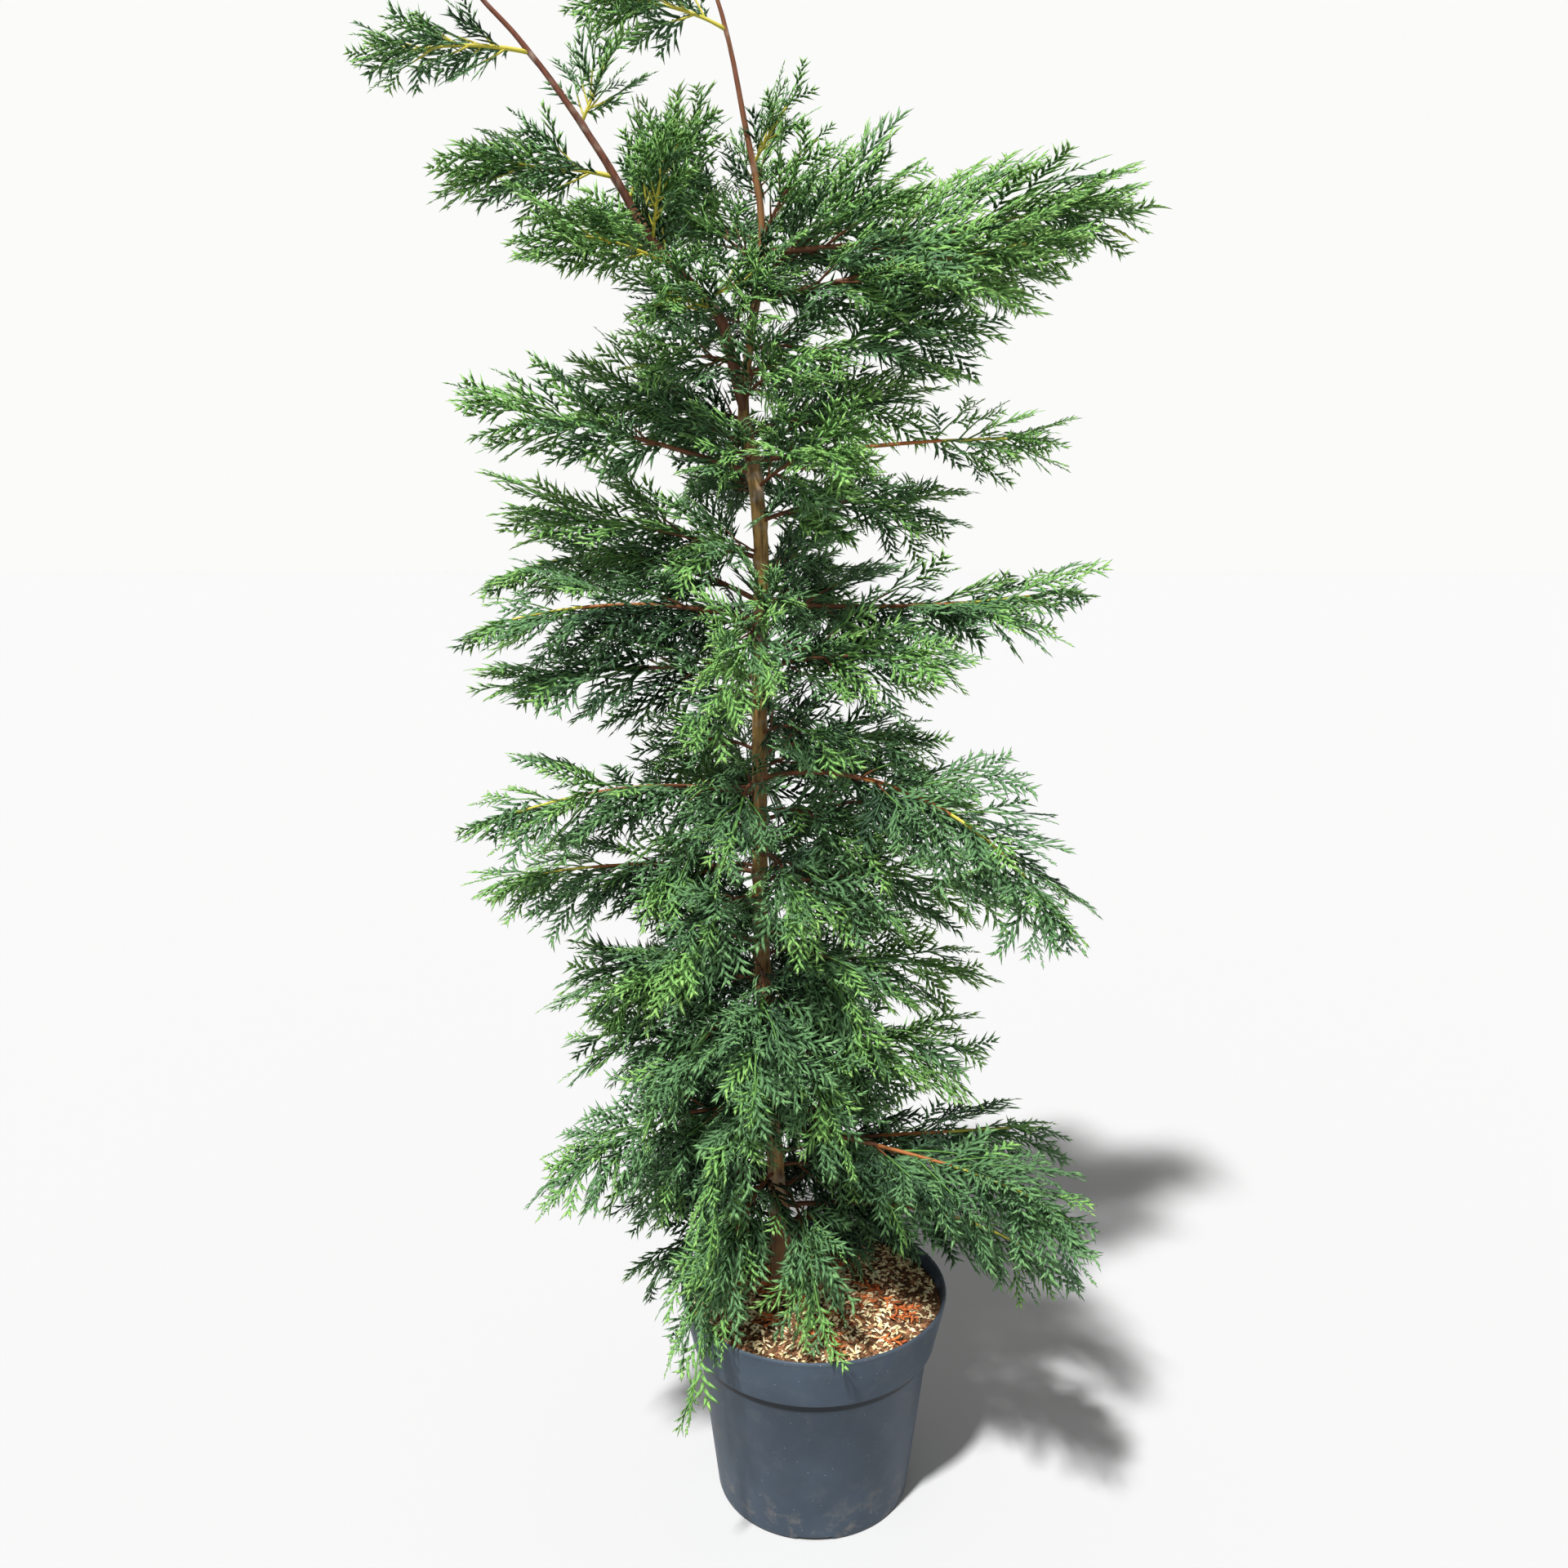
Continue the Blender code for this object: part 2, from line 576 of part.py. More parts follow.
def joined(stem, sprays, carrier):
    """Fuses the sprays into the stem, cuts it clear of its carrier, and applies both."""
    fuse = stem.modifiers.new("fused", "BOOLEAN")
    fuse.operation = "UNION"
    fuse.operand_type = "COLLECTION"
    fuse.collection = sprays
    if carrier:
        cut_clear(stem, carrier)
    bpy.context.view_layer.update()
    graph = bpy.context.evaluated_depsgraph_get()
    fused = bpy.data.meshes.new_from_object(stem.evaluated_get(graph))
    stem.modifiers.clear()
    for piece in list(sprays.objects):
        bpy.data.objects.remove(piece)
    bpy.data.collections.remove(sprays)
    one_body(fused)
    return fused


def make_mass(row, lines, built, profile, finish):
    """A mass of foliage: one stem with toothed sprays on it, fused into one solid."""
    chance = random.Random(SEED + BOUGHS.index(row))
    tip_fan = 0.95 * spray_length(row, 1.0) + 0.02
    stem_end = max(1 - 0.85 * tip_fan / row.reach, row.bare + 0.25 * (1 - row.bare))
    line = stem_points(row, row.bare, stem_end)
    radii = [bough_radius(row, row.bare + (stem_end - row.bare) * k / (len(line) - 1))
             for k in range(len(line))]
    name = f"mass_{row.name}"
    stem = place(name, tube(name, line, radii, profile=profile), finish)
    sprays = bpy.data.collections.new("sprays")
    bpy.context.scene.collection.children.link(sprays)
    places = spray_places(row, line, stem_end, chance)
    tip_root, _ = on_stem(line, TIP_ROOT)
    to_tip = bough_point(row, 1.0) - tip_root
    places.append((TIP_ROOT, to_tip.normalized(), to_tip.length))
    for t, way, length in places:
        point, _ = on_stem(line, t)
        root = point - way * bough_radius(row, row.bare + (stem_end - row.bare) * t)
        size = (length, TIP_WIDTH if t == TIP_ROOT else 1.0)
        fitted = fitted_spray(row, root, way, size, lines, built, chance)
        if fitted:
            mesh, matrix = fitted
            place("spray", mesh, finish, sprays.name).matrix_world = matrix
    rooted = not (row.bare or ends_its_carrier(row))
    stem.data = joined(stem, sprays, row.carrier if rooted else None)
    built.append(skin(stem.data))


def main():
    """Clears the scene and builds every piece."""
    for old in list(bpy.data.objects):
        bpy.data.objects.remove(old)
    for name in (PARTS, CUTTERS):
        bpy.context.scene.collection.children.link(bpy.data.collections.new(name))
    old_bark = material("old_bark", (0.16, 0.09, 0.045), 0.85)
    young_bark = material("young_bark", (0.28, 0.11, 0.05), 0.7)
    green = material("foliage", (0.035, 0.12, 0.03), 0.6)
    make_pot(material("pot_plastic", (0.055, 0.075, 0.095), 0.55))
    make_compost(material("compost", (0.08, 0.045, 0.025), 0.95))
    for carrier in CARRIERS:
        clearance(carrier)
    make_trunk(old_bark)
    make_limb(young_bark)
    for row in BOUGHS:
        if row.bare:
            make_bough(row, young_bark)
    lines = {row.name: (0.0, [bough_point(row, k / 10) for k in range(11)]) for row in BOUGHS}
    for name, (line, radius) in CARRIERS.items():
        points, radii = rings(line, radius, RINGS[name])
        lines[name] = (max(radii[4:]), points)
    bpy.context.view_layer.update()
    graph = bpy.context.evaluated_depsgraph_get()
    solids = bpy.data.collections[PARTS].objects
    built = [skin(solid.evaluated_get(graph).to_mesh()) for solid in solids]
    profile = triangle_profile()
    for row in BOUGHS:
        make_mass(row, lines, built, profile, green)


main()
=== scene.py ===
"""A young conifer in a round nursery pot: the finished look of the part, piece by piece.

Everything is in metres, in the frame of the CAD model. The tree grows by the same rule as the
solids do: a wandering trunk, a forked limb, and boughs that each carry side sprays. Here the
sprays go on to fronds and to the fine branchlets on them.
"""

import logging
import math
import random
from dataclasses import dataclass, field
from enum import Enum
from typing import Any

import bmesh
import bpy
import numpy as np
from mathutils import Matrix, Vector


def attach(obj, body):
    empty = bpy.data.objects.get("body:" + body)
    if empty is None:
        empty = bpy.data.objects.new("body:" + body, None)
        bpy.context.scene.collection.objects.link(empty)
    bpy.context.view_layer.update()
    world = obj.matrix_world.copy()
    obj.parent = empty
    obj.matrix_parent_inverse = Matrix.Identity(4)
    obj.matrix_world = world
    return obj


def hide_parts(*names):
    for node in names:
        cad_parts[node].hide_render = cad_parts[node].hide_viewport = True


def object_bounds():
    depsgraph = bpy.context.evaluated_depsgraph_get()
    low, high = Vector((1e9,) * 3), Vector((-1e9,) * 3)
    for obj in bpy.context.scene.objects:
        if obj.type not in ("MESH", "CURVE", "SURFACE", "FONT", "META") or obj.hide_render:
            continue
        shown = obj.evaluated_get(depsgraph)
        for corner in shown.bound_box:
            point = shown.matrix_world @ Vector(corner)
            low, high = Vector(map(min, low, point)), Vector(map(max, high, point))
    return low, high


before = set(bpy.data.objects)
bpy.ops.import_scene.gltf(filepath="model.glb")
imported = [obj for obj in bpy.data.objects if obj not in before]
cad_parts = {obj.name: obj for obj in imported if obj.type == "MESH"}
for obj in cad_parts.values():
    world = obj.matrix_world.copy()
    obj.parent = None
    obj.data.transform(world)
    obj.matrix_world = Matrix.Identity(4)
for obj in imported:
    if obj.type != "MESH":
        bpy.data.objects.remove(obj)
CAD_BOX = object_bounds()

log = logging.getLogger("conifer")
BODY = "root"
UP = Vector((0, 0, 1))
GOLDEN_ANGLE = 137.5             # turn from each shoot of a stem to the next, in degrees
SEED = 20
LENGTH_SPREAD = (0.85, 1.12)     # how much shorter or longer than the rule a frond or a twiglet grows
STEP_SPREAD = (0.85, 1.15)       # and how much nearer or further off it stands
FOOT_CAP = 0.4                   # how far a tube's foot bulges, as a share of its radius
TIP_CAP = 0.8                    # and its tip


# ------------------------------------------------------------------ small shared tools
def linear(colour: str) -> tuple[float, float, float, float]:
    """Turns an sRGB colour to the linear one that shaders take.

    Args:
        colour: The colour as six hex digits after a hash.

    Returns:
        Linear red, green, blue and an alpha of one.
    """
    parts = [int(colour[i : i + 2], 16) / 255 for i in (1, 3, 5)]
    red, green, blue = (c / 12.92 if c <= 0.04045 else ((c + 0.055) / 1.055) ** 2.4 for c in parts)
    return red, green, blue, 1.0


def add(tree: bpy.types.NodeTree, kind: str, inputs: dict[Any, Any] | None = None,
        **settings: Any) -> bpy.types.Node:
    """Adds a node to a tree, sets it up and links it.

    Args:
        tree: The shader or geometry tree.
        kind: The node's type.
        inputs: For an input's name or number, its value or the socket that feeds it.
        settings: The node's own properties.

    Returns:
        The new node.
    """
    node = tree.nodes.new(kind)
    for name, value in settings.items():
        setattr(node, name, value)
    for key, value in (inputs or {}).items():
        if isinstance(value, bpy.types.NodeSocket):
            tree.links.new(value, node.inputs[key])
        else:
            node.inputs[key].default_value = value
    return node


def unit(vector: np.ndarray) -> np.ndarray:
    """Scales each row of an array to length one."""
    return vector / np.maximum(np.linalg.norm(vector, axis=-1, keepdims=True), 1e-9)


def wave(x: np.ndarray, seed: int, terms: int = 5) -> np.ndarray:
    """A smooth seeded wander about zero.

    Args:
        x: Where to read it; one unit is about one wave.
        seed: Gives the same wander each time.
        terms: How many waves are laid over each other.

    Returns:
        The wander, mostly between minus one and one.
    """
    chance = np.random.default_rng(seed)
    total = np.zeros_like(x, dtype=float)
    for _ in range(terms):
        total += np.sin(math.tau * x * chance.uniform(0.5, 1.7) + chance.uniform(0, math.tau))
    return total / math.sqrt(terms * 2)


class Shape:
    """Corners and faces gathered for one piece, with a finish number for each face."""

    def __init__(self) -> None:
        self.corners: list[np.ndarray] = []
        self.faces: list[tuple[int, ...]] = []
        self.finishes: list[int] = []
        self.count = 0

    def add(self, corners: np.ndarray, faces: list[tuple[int, ...]], finish: int = 0) -> None:
        """Adds corners and the faces between them, which count from the first of these corners."""
        start = self.count
        self.corners.append(np.asarray(corners, dtype=float))
        self.faces.extend(tuple(start + i for i in face) for face in faces)
        self.finishes.extend([finish] * len(faces))
        self.count += len(corners)

    def mesh(self, name: str, materials: list[bpy.types.Material], smooth: bool = True) -> bpy.types.Mesh:
        """Makes the mesh.

        Args:
            name: The mesh's name.
            materials: The materials that the finish numbers stand for.
            smooth: Whether faces are shaded smooth.

        Returns:
            The new mesh.
        """
        mesh = bpy.data.meshes.new(name)
        mesh.from_pydata(np.concatenate(self.corners).tolist(), [], self.faces)
        for material in materials:
            mesh.materials.append(material)
        mesh.polygons.foreach_set("material_index", self.finishes)
        mesh.polygons.foreach_set("use_smooth", [smooth] * len(self.faces))
        mesh.update()
        return mesh


def tube_faces(rings: int, sides: int) -> list[tuple[int, ...]]:
    """Faces of a closed tube whose rings are followed by a pole at its foot and one at its tip.

    Args:
        rings: How many rings of corners it has.
        sides: How many corners a ring has.

    Returns:
        The faces, pointing outwards.
    """
    foot, tip = rings * sides, rings * sides + 1
    faces: list[tuple[int, ...]] = []
    for k in range(sides):
        n = (k + 1) % sides
        faces.append((foot, n, k))
        for r in range(rings - 1):
            a, b = r * sides, (r + 1) * sides
            faces.append((a + k, a + n, b + n, b + k))
        last = (rings - 1) * sides
        faces.append((last + k, last + n, tip))
    return faces


def tube_corners(line: np.ndarray, radii: np.ndarray, sides: int, level: Vector = UP) -> np.ndarray:
    """Corners of a closed tube round a centre line.

    Args:
        line: The centre line's points.
        radii: One radius for each point, or one for each corner of each ring.
        sides: How many corners a ring has.
        level: The way that the first corner of a ring leans to.

    Returns:
        The rings' corners in order, then the pole at the foot and the one at the tip.
    """
    ahead = unit(np.gradient(line, axis=0))
    across = np.array(level) - ahead * (ahead @ np.array(level))[:, None]
    across = unit(across)
    beside = np.cross(ahead, across)
    turn = np.arange(sides) / sides * math.tau
    ring = across[:, None, :] * np.cos(turn)[None, :, None] + beside[:, None, :] * np.sin(turn)[None, :, None]
    sizes = radii if radii.ndim == 2 else np.repeat(radii[:, None], sides, axis=1)
    corners = line[:, None, :] + ring * sizes[:, :, None]
    foot, tip = ahead[0] * sizes[0].mean() * FOOT_CAP, ahead[-1] * sizes[-1].mean() * TIP_CAP
    caps = np.stack([line[0] - foot, line[-1] + tip])
    return np.concatenate([corners.reshape(-1, 3), caps])


def show(mesh: bpy.types.Mesh, name: str, slot: str, *nodes: str) -> bpy.types.Object:
    """Puts a finished mesh in the scene as a piece that stands for CAD nodes.

    Args:
        mesh: The mesh, with its place in it.
        name: The piece's name.
        slot: The record's material slot for the piece; not used.
        nodes: The CAD nodes that it stands for.

    Returns:
        The piece.
    """
    piece = bpy.data.objects.new(name, mesh)
    bpy.context.scene.collection.objects.link(piece)
    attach(piece, BODY)
    if nodes:
        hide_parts(*nodes)
    mesh.calc_loop_triangles()
    log.info("%s: %d triangles", name, len(mesh.loop_triangles))
    return piece


def settle(holder: bpy.types.Object, tree: bpy.types.NodeTree, values: dict[str, Any]) -> bpy.types.Mesh:
    """Runs a geometry tree on an object and keeps the result as a plain mesh.

    Args:
        holder: The object to run it on, which is removed afterwards.
        tree: The geometry tree.
        values: For each of the tree's inputs, by name, its value.

    Returns:
        The realized mesh.
    """
    spread = holder.modifiers.new("spread", "NODES")
    spread.node_group = tree
    for item in tree.interface.items_tree:
        if item.item_type == "SOCKET" and item.in_out == "INPUT" and item.name in values:
            spread[item.identifier] = values[item.name]
    bpy.context.view_layer.update()
    graph = bpy.context.evaluated_depsgraph_get()
    mesh = bpy.data.meshes.new_from_object(holder.evaluated_get(graph), depsgraph=graph)
    holder.modifiers.remove(spread)
    bpy.data.objects.remove(holder)
    return mesh


def stock(name: str, meshes: list[bpy.types.Mesh]) -> bpy.types.Collection:
    """A hidden collection of small shapes for a geometry tree to deal out.

    Args:
        name: The collection's name.
        meshes: The shapes, in the order that they are picked by.

    Returns:
        The collection, which is no part of the scene.
    """
    shelf = bpy.data.collections.new(name)
    for k, mesh in enumerate(meshes):
        shelf.objects.link(bpy.data.objects.new(f"{name}_{k:02d}", mesh))
    return shelf


def sockets(tree: bpy.types.NodeTree, **kinds: str) -> bpy.types.Node:
    """Gives a geometry tree its named inputs and its output.

    Args:
        tree: The tree.
        kinds: The type of each input, by its name; underscores stand for spaces.

    Returns:
        The group input node.
    """
    tree.interface.new_socket("Geometry", in_out="OUTPUT", socket_type="NodeSocketGeometry")
    tree.interface.new_socket("Geometry", in_out="INPUT", socket_type="NodeSocketGeometry")
    for name, kind in kinds.items():
        tree.interface.new_socket(name.replace("_", " "), in_out="INPUT", socket_type=kind)
    return tree.nodes.new("NodeGroupInput")


# ------------------------------------------------------------------ finishes
def shader_of(material: bpy.types.Material) -> bpy.types.Node:
    """The material's Principled shader."""
    return material.node_tree.nodes["Principled BSDF"]


def new_material(name: str, roughness: float, ior: float, gloss: float) -> bpy.types.Material:
    """A material with its one shader, whose even values are set on the shader itself.

    Args:
        name: The material's name.
        roughness: How rough it is all over.
        ior: Its index of refraction.
        gloss: How much of a clean surface's mirror light is left on it; dust and fine texture take the rest.

    Returns:
        The material.
    """
    material = bpy.data.materials.new(name)
    material.use_nodes = True
    shader = shader_of(material)
    shader.inputs["Roughness"].default_value = roughness
    shader.inputs["IOR"].default_value = ior
    shader.inputs["Specular IOR Level"].default_value = 0.5 * gloss
    return material


@dataclass(frozen=True)
class PotPlastic:
    """Injection-moulded polypropylene, coloured slate: satin, a little chalky, dusty at the foot, with a
    painted shadow under the collar.
    """

    colour: str = "#38424D"
    worn: str = "#404B57"
    dust: str = "#8A8072"
    speck: str = "#C9C6BC"
    painted_collar_shadow: str = "#1B2126"        # painted shadow: the dark colour of the strip under the collar's ledge, where the collar shades the wall from the sun
    clouds_per_m: float = 14.0      # of the worn areas
    patches_per_m: float = 38.0     # of the dust
    grain_mm: float = 0.9           # mould texture; the real one is finer and wouldn't show
    speck_mm: float = 9.0           # from speck to speck
    dust_height: float = 0.10
    faint_dust: float = 0.16        # its share above that height
    collar_shadow: tuple[float, float] = (0.2135, 0.2285)    # the painted shadow's lower and upper edge, under the collar
    collar_shadow_blur: tuple[float, float] = (0.003, 0.0008)

    def material(self) -> bpy.types.Material:
        """Satin slate plastic: a scuffed sheen, dust that thins upwards, pale specks and a painted shadow
        under the collar.
        """
        made = new_material("moulded_polypropylene", roughness=0.46, ior=1.49, gloss=0.30)
        tree = made.node_tree
        place = add(tree, "ShaderNodeTexCoord").outputs["Object"]
        height = add(tree, "ShaderNodeSeparateXYZ", {"Vector": place}).outputs["Z"]
        cloud = add(tree, "ShaderNodeTexNoise", {
            "Vector": place, "Scale": self.clouds_per_m, "Detail": 5.0}).outputs["Fac"]
        patch = add(tree, "ShaderNodeTexNoise", {
            "Vector": place, "Scale": self.patches_per_m, "Detail": 6.0, "Roughness": 0.65}).outputs["Fac"]
        cell = add(tree, "ShaderNodeTexVoronoi", {
            "Vector": place, "Scale": 1000 / self.speck_mm}).outputs["Distance"]
        bottom, top = self.collar_shadow
        worn, low, patches, speck, above, below = (
            add(tree, "ShaderNodeMapRange", {
                "Value": value, "From Min": nought, "From Max": one}).outputs["Result"]
            for value, nought, one in (
                (cloud, 0.42, 0.72), (height, self.dust_height, 0.0), (patch, 0.50, 0.95),
                (cell, 0.055, 0.030), (height, bottom, bottom + self.collar_shadow_blur[0]),
                (height, top + self.collar_shadow_blur[1], top)))
        dusty = add(tree, "ShaderNodeMath", {0: low, 1: patches}, operation="MULTIPLY").outputs[0]
        faint = add(tree, "ShaderNodeMath", {0: patches, 1: self.faint_dust}, operation="MULTIPLY").outputs[0]
        dirt = add(tree, "ShaderNodeMath", {0: dusty, 1: faint}, operation="MAXIMUM").outputs[0]
        # painted shadow: a dark strip under the collar's ledge, mixed into the colour last
        painted_shadow_share = add(tree, "ShaderNodeMath", {0: above, 1: below}, operation="MULTIPLY").outputs[0]
        colour: Any = linear(self.colour)
        for share, coat in ((worn, self.worn), (dirt, self.dust), (speck, self.speck),
                            (painted_shadow_share, self.painted_collar_shadow)):
            colour = add(tree, "ShaderNodeMix", {
                0: share, 6: colour, 7: linear(coat)}, data_type="RGBA").outputs[2]
        rough = add(tree, "ShaderNodeMapRange", {"Value": cloud, "To Min": 0.42, "To Max": 0.56})
        grain = add(tree, "ShaderNodeTexNoise", {
            "Vector": place, "Scale": 1000 / self.grain_mm, "Detail": 2.0})
        bump = add(tree, "ShaderNodeBump", {
            "Height": grain.outputs["Fac"], "Strength": 0.10, "Distance": 0.0004})
        shader = shader_of(made)
        tree.links.new(colour, shader.inputs["Base Color"])
        tree.links.new(rough.outputs["Result"], shader.inputs["Roughness"])
        tree.links.new(bump.outputs["Normal"], shader.inputs["Normal"])
        return made


@dataclass(frozen=True)
class BarkFinish:
    """Young conifer bark: thin, smooth and slightly glossy, with fine fibres along the stem."""

    name: str
    light: str
    dark: str
    foot: str = "#8C6450"
    top: str = "#6C3F30"
    ring: str = "#A89C8C"
    scar: str = "#2C221A"
    fibre_mm: float = 2.2
    fibre_run: float = 0.14         # a fibre's width, as a share of its length
    clouds_per_m: float = 26.0
    low: float = 0.30               # where the foot's colour is fullest
    foot_fade: float = 0.22         # and how far up it fades
    high: float = 2.00              # where the stem ends
    top_fade: tuple[float, float] = (0.55, 0.15)    # how far below it the top's colour starts and is full
    foot_share: float = 0.75
    top_share: float = 0.8

    def material(self) -> bpy.types.Material:
        """Two bark tones in long fibres, greyer rings and dark scars from the mesh's own attributes."""
        made = new_material(self.name, roughness=0.50, ior=1.46, gloss=0.45)
        tree = made.node_tree
        place = add(tree, "ShaderNodeTexCoord").outputs["Object"]
        height = add(tree, "ShaderNodeSeparateXYZ", {"Vector": place}).outputs["Z"]
        long = add(tree, "ShaderNodeMapping", {
            "Vector": place, "Scale": (1.0, 1.0, self.fibre_run)}).outputs[0]
        fibre = add(tree, "ShaderNodeTexNoise", {
            "Vector": long, "Scale": 500 / self.fibre_mm, "Detail": 4.0, "Roughness": 0.6}).outputs["Fac"]
        cloud = add(tree, "ShaderNodeTexNoise", {
            "Vector": place, "Scale": self.clouds_per_m, "Detail": 3.0}).outputs["Fac"]
        both = add(tree, "ShaderNodeMath", {0: fibre, 1: cloud}, operation="ADD").outputs[0]
        start, full = (self.high - fade for fade in self.top_fade)
        tone, near_foot, near_top = (
            add(tree, "ShaderNodeMapRange", {
                "Value": value, "From Min": nought, "From Max": one}).outputs["Result"]
            for value, nought, one in (
                (both, 0.82, 1.20), (height, self.low + self.foot_fade, self.low), (height, start, full)))
        foot, top = (add(tree, "ShaderNodeMath", {0: near, 1: share}, operation="MULTIPLY").outputs[0]
                     for near, share in ((near_foot, self.foot_share), (near_top, self.top_share)))
        ring, scar = (add(tree, "ShaderNodeAttribute", attribute_name=name).outputs["Fac"]
                      for name in ("ring", "scar"))
        colour: Any = linear(self.dark)
        for share, coat in ((tone, self.light), (foot, self.foot), (top, self.top), (ring, self.ring),
                            (scar, self.scar)):
            colour = add(tree, "ShaderNodeMix", {
                0: share, 6: colour, 7: linear(coat)}, data_type="RGBA").outputs[2]
        bump = add(tree, "ShaderNodeBump", {"Height": fibre, "Strength": 0.5, "Distance": 0.0006})
        shader = shader_of(made)
        tree.links.new(colour, shader.inputs["Base Color"])
        tree.links.new(bump.outputs["Normal"], shader.inputs["Normal"])
        return made


@dataclass(frozen=True)
class TwigBark:
    """The bark of a bough's stem: thin, smooth and slightly glossy, in one even tint."""

    name: str
    colour: str
    fibre_mm: float = 1.2

    def material(self) -> bpy.types.Material:
        """One even tint, which is dealt out along the stem, with its fibres as fine relief."""
        made = new_material(self.name, roughness=0.50, ior=1.46, gloss=0.45)
        tree, shader = made.node_tree, shader_of(made)
        shader.inputs["Base Color"].default_value = linear(self.colour)
        place = add(tree, "ShaderNodeTexCoord").outputs["Object"]
        fibre = add(tree, "ShaderNodeTexNoise", {
            "Vector": place, "Scale": 1000 / self.fibre_mm, "Detail": 2.0})
        bump = add(tree, "ShaderNodeBump", {
            "Height": fibre.outputs["Fac"], "Strength": 0.4, "Distance": 0.0004})
        tree.links.new(bump.outputs["Normal"], shader.inputs["Normal"])
        return made


@dataclass(frozen=True)
class Litter:
    """Dry plant matter, such as peat, bark chips or husks: matt, in two mottled tones."""

    name: str
    light: str
    dark: str
    mottle_mm: float
    bump: float = 0.5

    def material(self) -> bpy.types.Material:
        """Mottled matt brown or straw, broken up by fine crumbs."""
        made = new_material(self.name, roughness=0.86, ior=1.45, gloss=0.20)
        tree = made.node_tree
        place = add(tree, "ShaderNodeTexCoord").outputs["Object"]
        crumb = add(tree, "ShaderNodeTexNoise", {
            "Vector": place, "Scale": 500 / self.mottle_mm, "Detail": 6.0}).outputs["Fac"]
        tone = add(tree, "ShaderNodeMapRange", {"Value": crumb, "From Min": 0.36, "From Max": 0.64})
        colour = add(tree, "ShaderNodeMix", {
            0: tone.outputs["Result"], 6: linear(self.dark), 7: linear(self.light)}, data_type="RGBA")
        bump = add(tree, "ShaderNodeBump", {
            "Height": crumb, "Strength": self.bump, "Distance": self.mottle_mm / 4000})
        shader = shader_of(made)
        tree.links.new(colour.outputs[2], shader.inputs["Base Color"])
        tree.links.new(bump.outputs["Normal"], shader.inputs["Normal"])
        return made


class Tone(Enum):
    """The tints of the foliage, from the oldest and darkest, which is also dealt inside the crown as painted
    shade, to the freshest growth.
    """

    DEEP = 0
    MID = 1
    FRESH = 2
    GOLDEN = 3


@dataclass(frozen=True)
class LeafWax:
    """Scale leaves under a thin wax: a plain tint, a soft gloss and tiny overlapping scales."""

    tone: Tone
    colour: str
    tip: bool
    scale_mm: float = 1.6

    def material(self) -> bpy.types.Material:
        """One even tint, which is dealt out by frond, with the scales as fine relief."""
        name = f"scale_leaf_{self.tone.name.lower()}{'_tip' if self.tip else ''}"
        made = new_material(name, roughness=0.50, ior=1.47, gloss=0.22)
        tree, shader = made.node_tree, shader_of(made)
        shader.inputs["Base Color"].default_value = linear(self.colour)
        place = add(tree, "ShaderNodeTexCoord").outputs["Object"]
        cell = add(tree, "ShaderNodeTexVoronoi", {"Vector": place, "Scale": 1000 / self.scale_mm})
        bump = add(tree, "ShaderNodeBump", {
            "Height": cell.outputs["Distance"], "Strength": 0.35, "Distance": 0.0005})
        tree.links.new(bump.outputs["Normal"], shader.inputs["Normal"])
        return made


LEAF_WAXES = tuple(
    LeafWax(tone, colour, tip)
    for tone, *colours in (
        (Tone.DEEP, "#2F4531", "#3F5B3D"), (Tone.MID, "#557850", "#678D5B"),
        (Tone.FRESH, "#6F9B54", "#84AC60"), (Tone.GOLDEN, "#8FA548", "#A9B954"))
    for colour, tip in zip(colours, (False, True)))


class Twig(Enum):
    """The tones of a bough's stem, from its root to its tip."""

    BROWN = 0
    AMBER = 1
    YELLOW = 2
    GREEN = 3


TWIG_FINISHES = (
    TwigBark("brown_twig_bark", "#64402B"),
    TwigBark("amber_twig_bark", "#935A2E"),
    TwigBark("yellow_twig_bark", "#B4AB43"),
    TwigBark("green_twig_bark", "#567F3D"),
)


# ------------------------------------------------------------------ the tree's own rule
@dataclass(frozen=True)
class Carrier:
    """A stem that boughs grow from, as its centre line: rows of height, x and y."""

    line: tuple[tuple[float, float, float], ...]

    def at(self, height: float) -> Vector:
        """The smooth centre line's point at a height.

        Args:
            height: The height.

        Returns:
            The point.
        """
        rows, last = self.line, len(self.line) - 1
        i = next((k for k in range(last) if height <= rows[k + 1][0]), last - 1)
        (z0, *a), (z1, *b) = rows[i], rows[i + 1]
        before, after = rows[max(i - 1, 0)], rows[min(i + 2, last)]
        t = (height - z0) / (z1 - z0)
        point = []
        for axis in (0, 1):
            slope0 = (b[axis] - before[axis + 1]) / (z1 - before[0]) * (z1 - z0)
            slope1 = (after[axis + 1] - a[axis]) / (after[0] - z0) * (z1 - z0)
            point.append((2 * t**3 - 3 * t**2 + 1) * a[axis] + (t**3 - 2 * t**2 + t) * slope0
                         + (3 * t**2 - 2 * t**3) * b[axis] + (t**3 - t**2) * slope1)
        return Vector((*point, height))


TRUNK = Carrier((
    (0.29, -0.042, 0.000), (0.52, -0.056, 0.004), (0.81, -0.072, -0.004), (1.12, -0.074, 0.004),
    (1.32, -0.071, 0.000), (1.42, -0.079, -0.002), (1.51, -0.093, 0.000), (1.61, -0.080, 0.003),
    (1.72, -0.069, 0.000), (1.84, -0.090, -0.004), (1.95, -0.114, -0.006), (2.05, -0.150, -0.004)))
LIMB = Carrier((
    (1.490, -0.0905, 0.000), (1.560, -0.106, -0.016), (1.615, -0.124, -0.024), (1.690, -0.196, -0.036),
    (1.784, -0.254, -0.048), (1.861, -0.308, -0.058), (1.914, -0.352, -0.068), (1.950, -0.388, -0.076),
    (2.010, -0.436, -0.084)))
CARRIERS = {"trunk": TRUNK, "limb": LIMB}

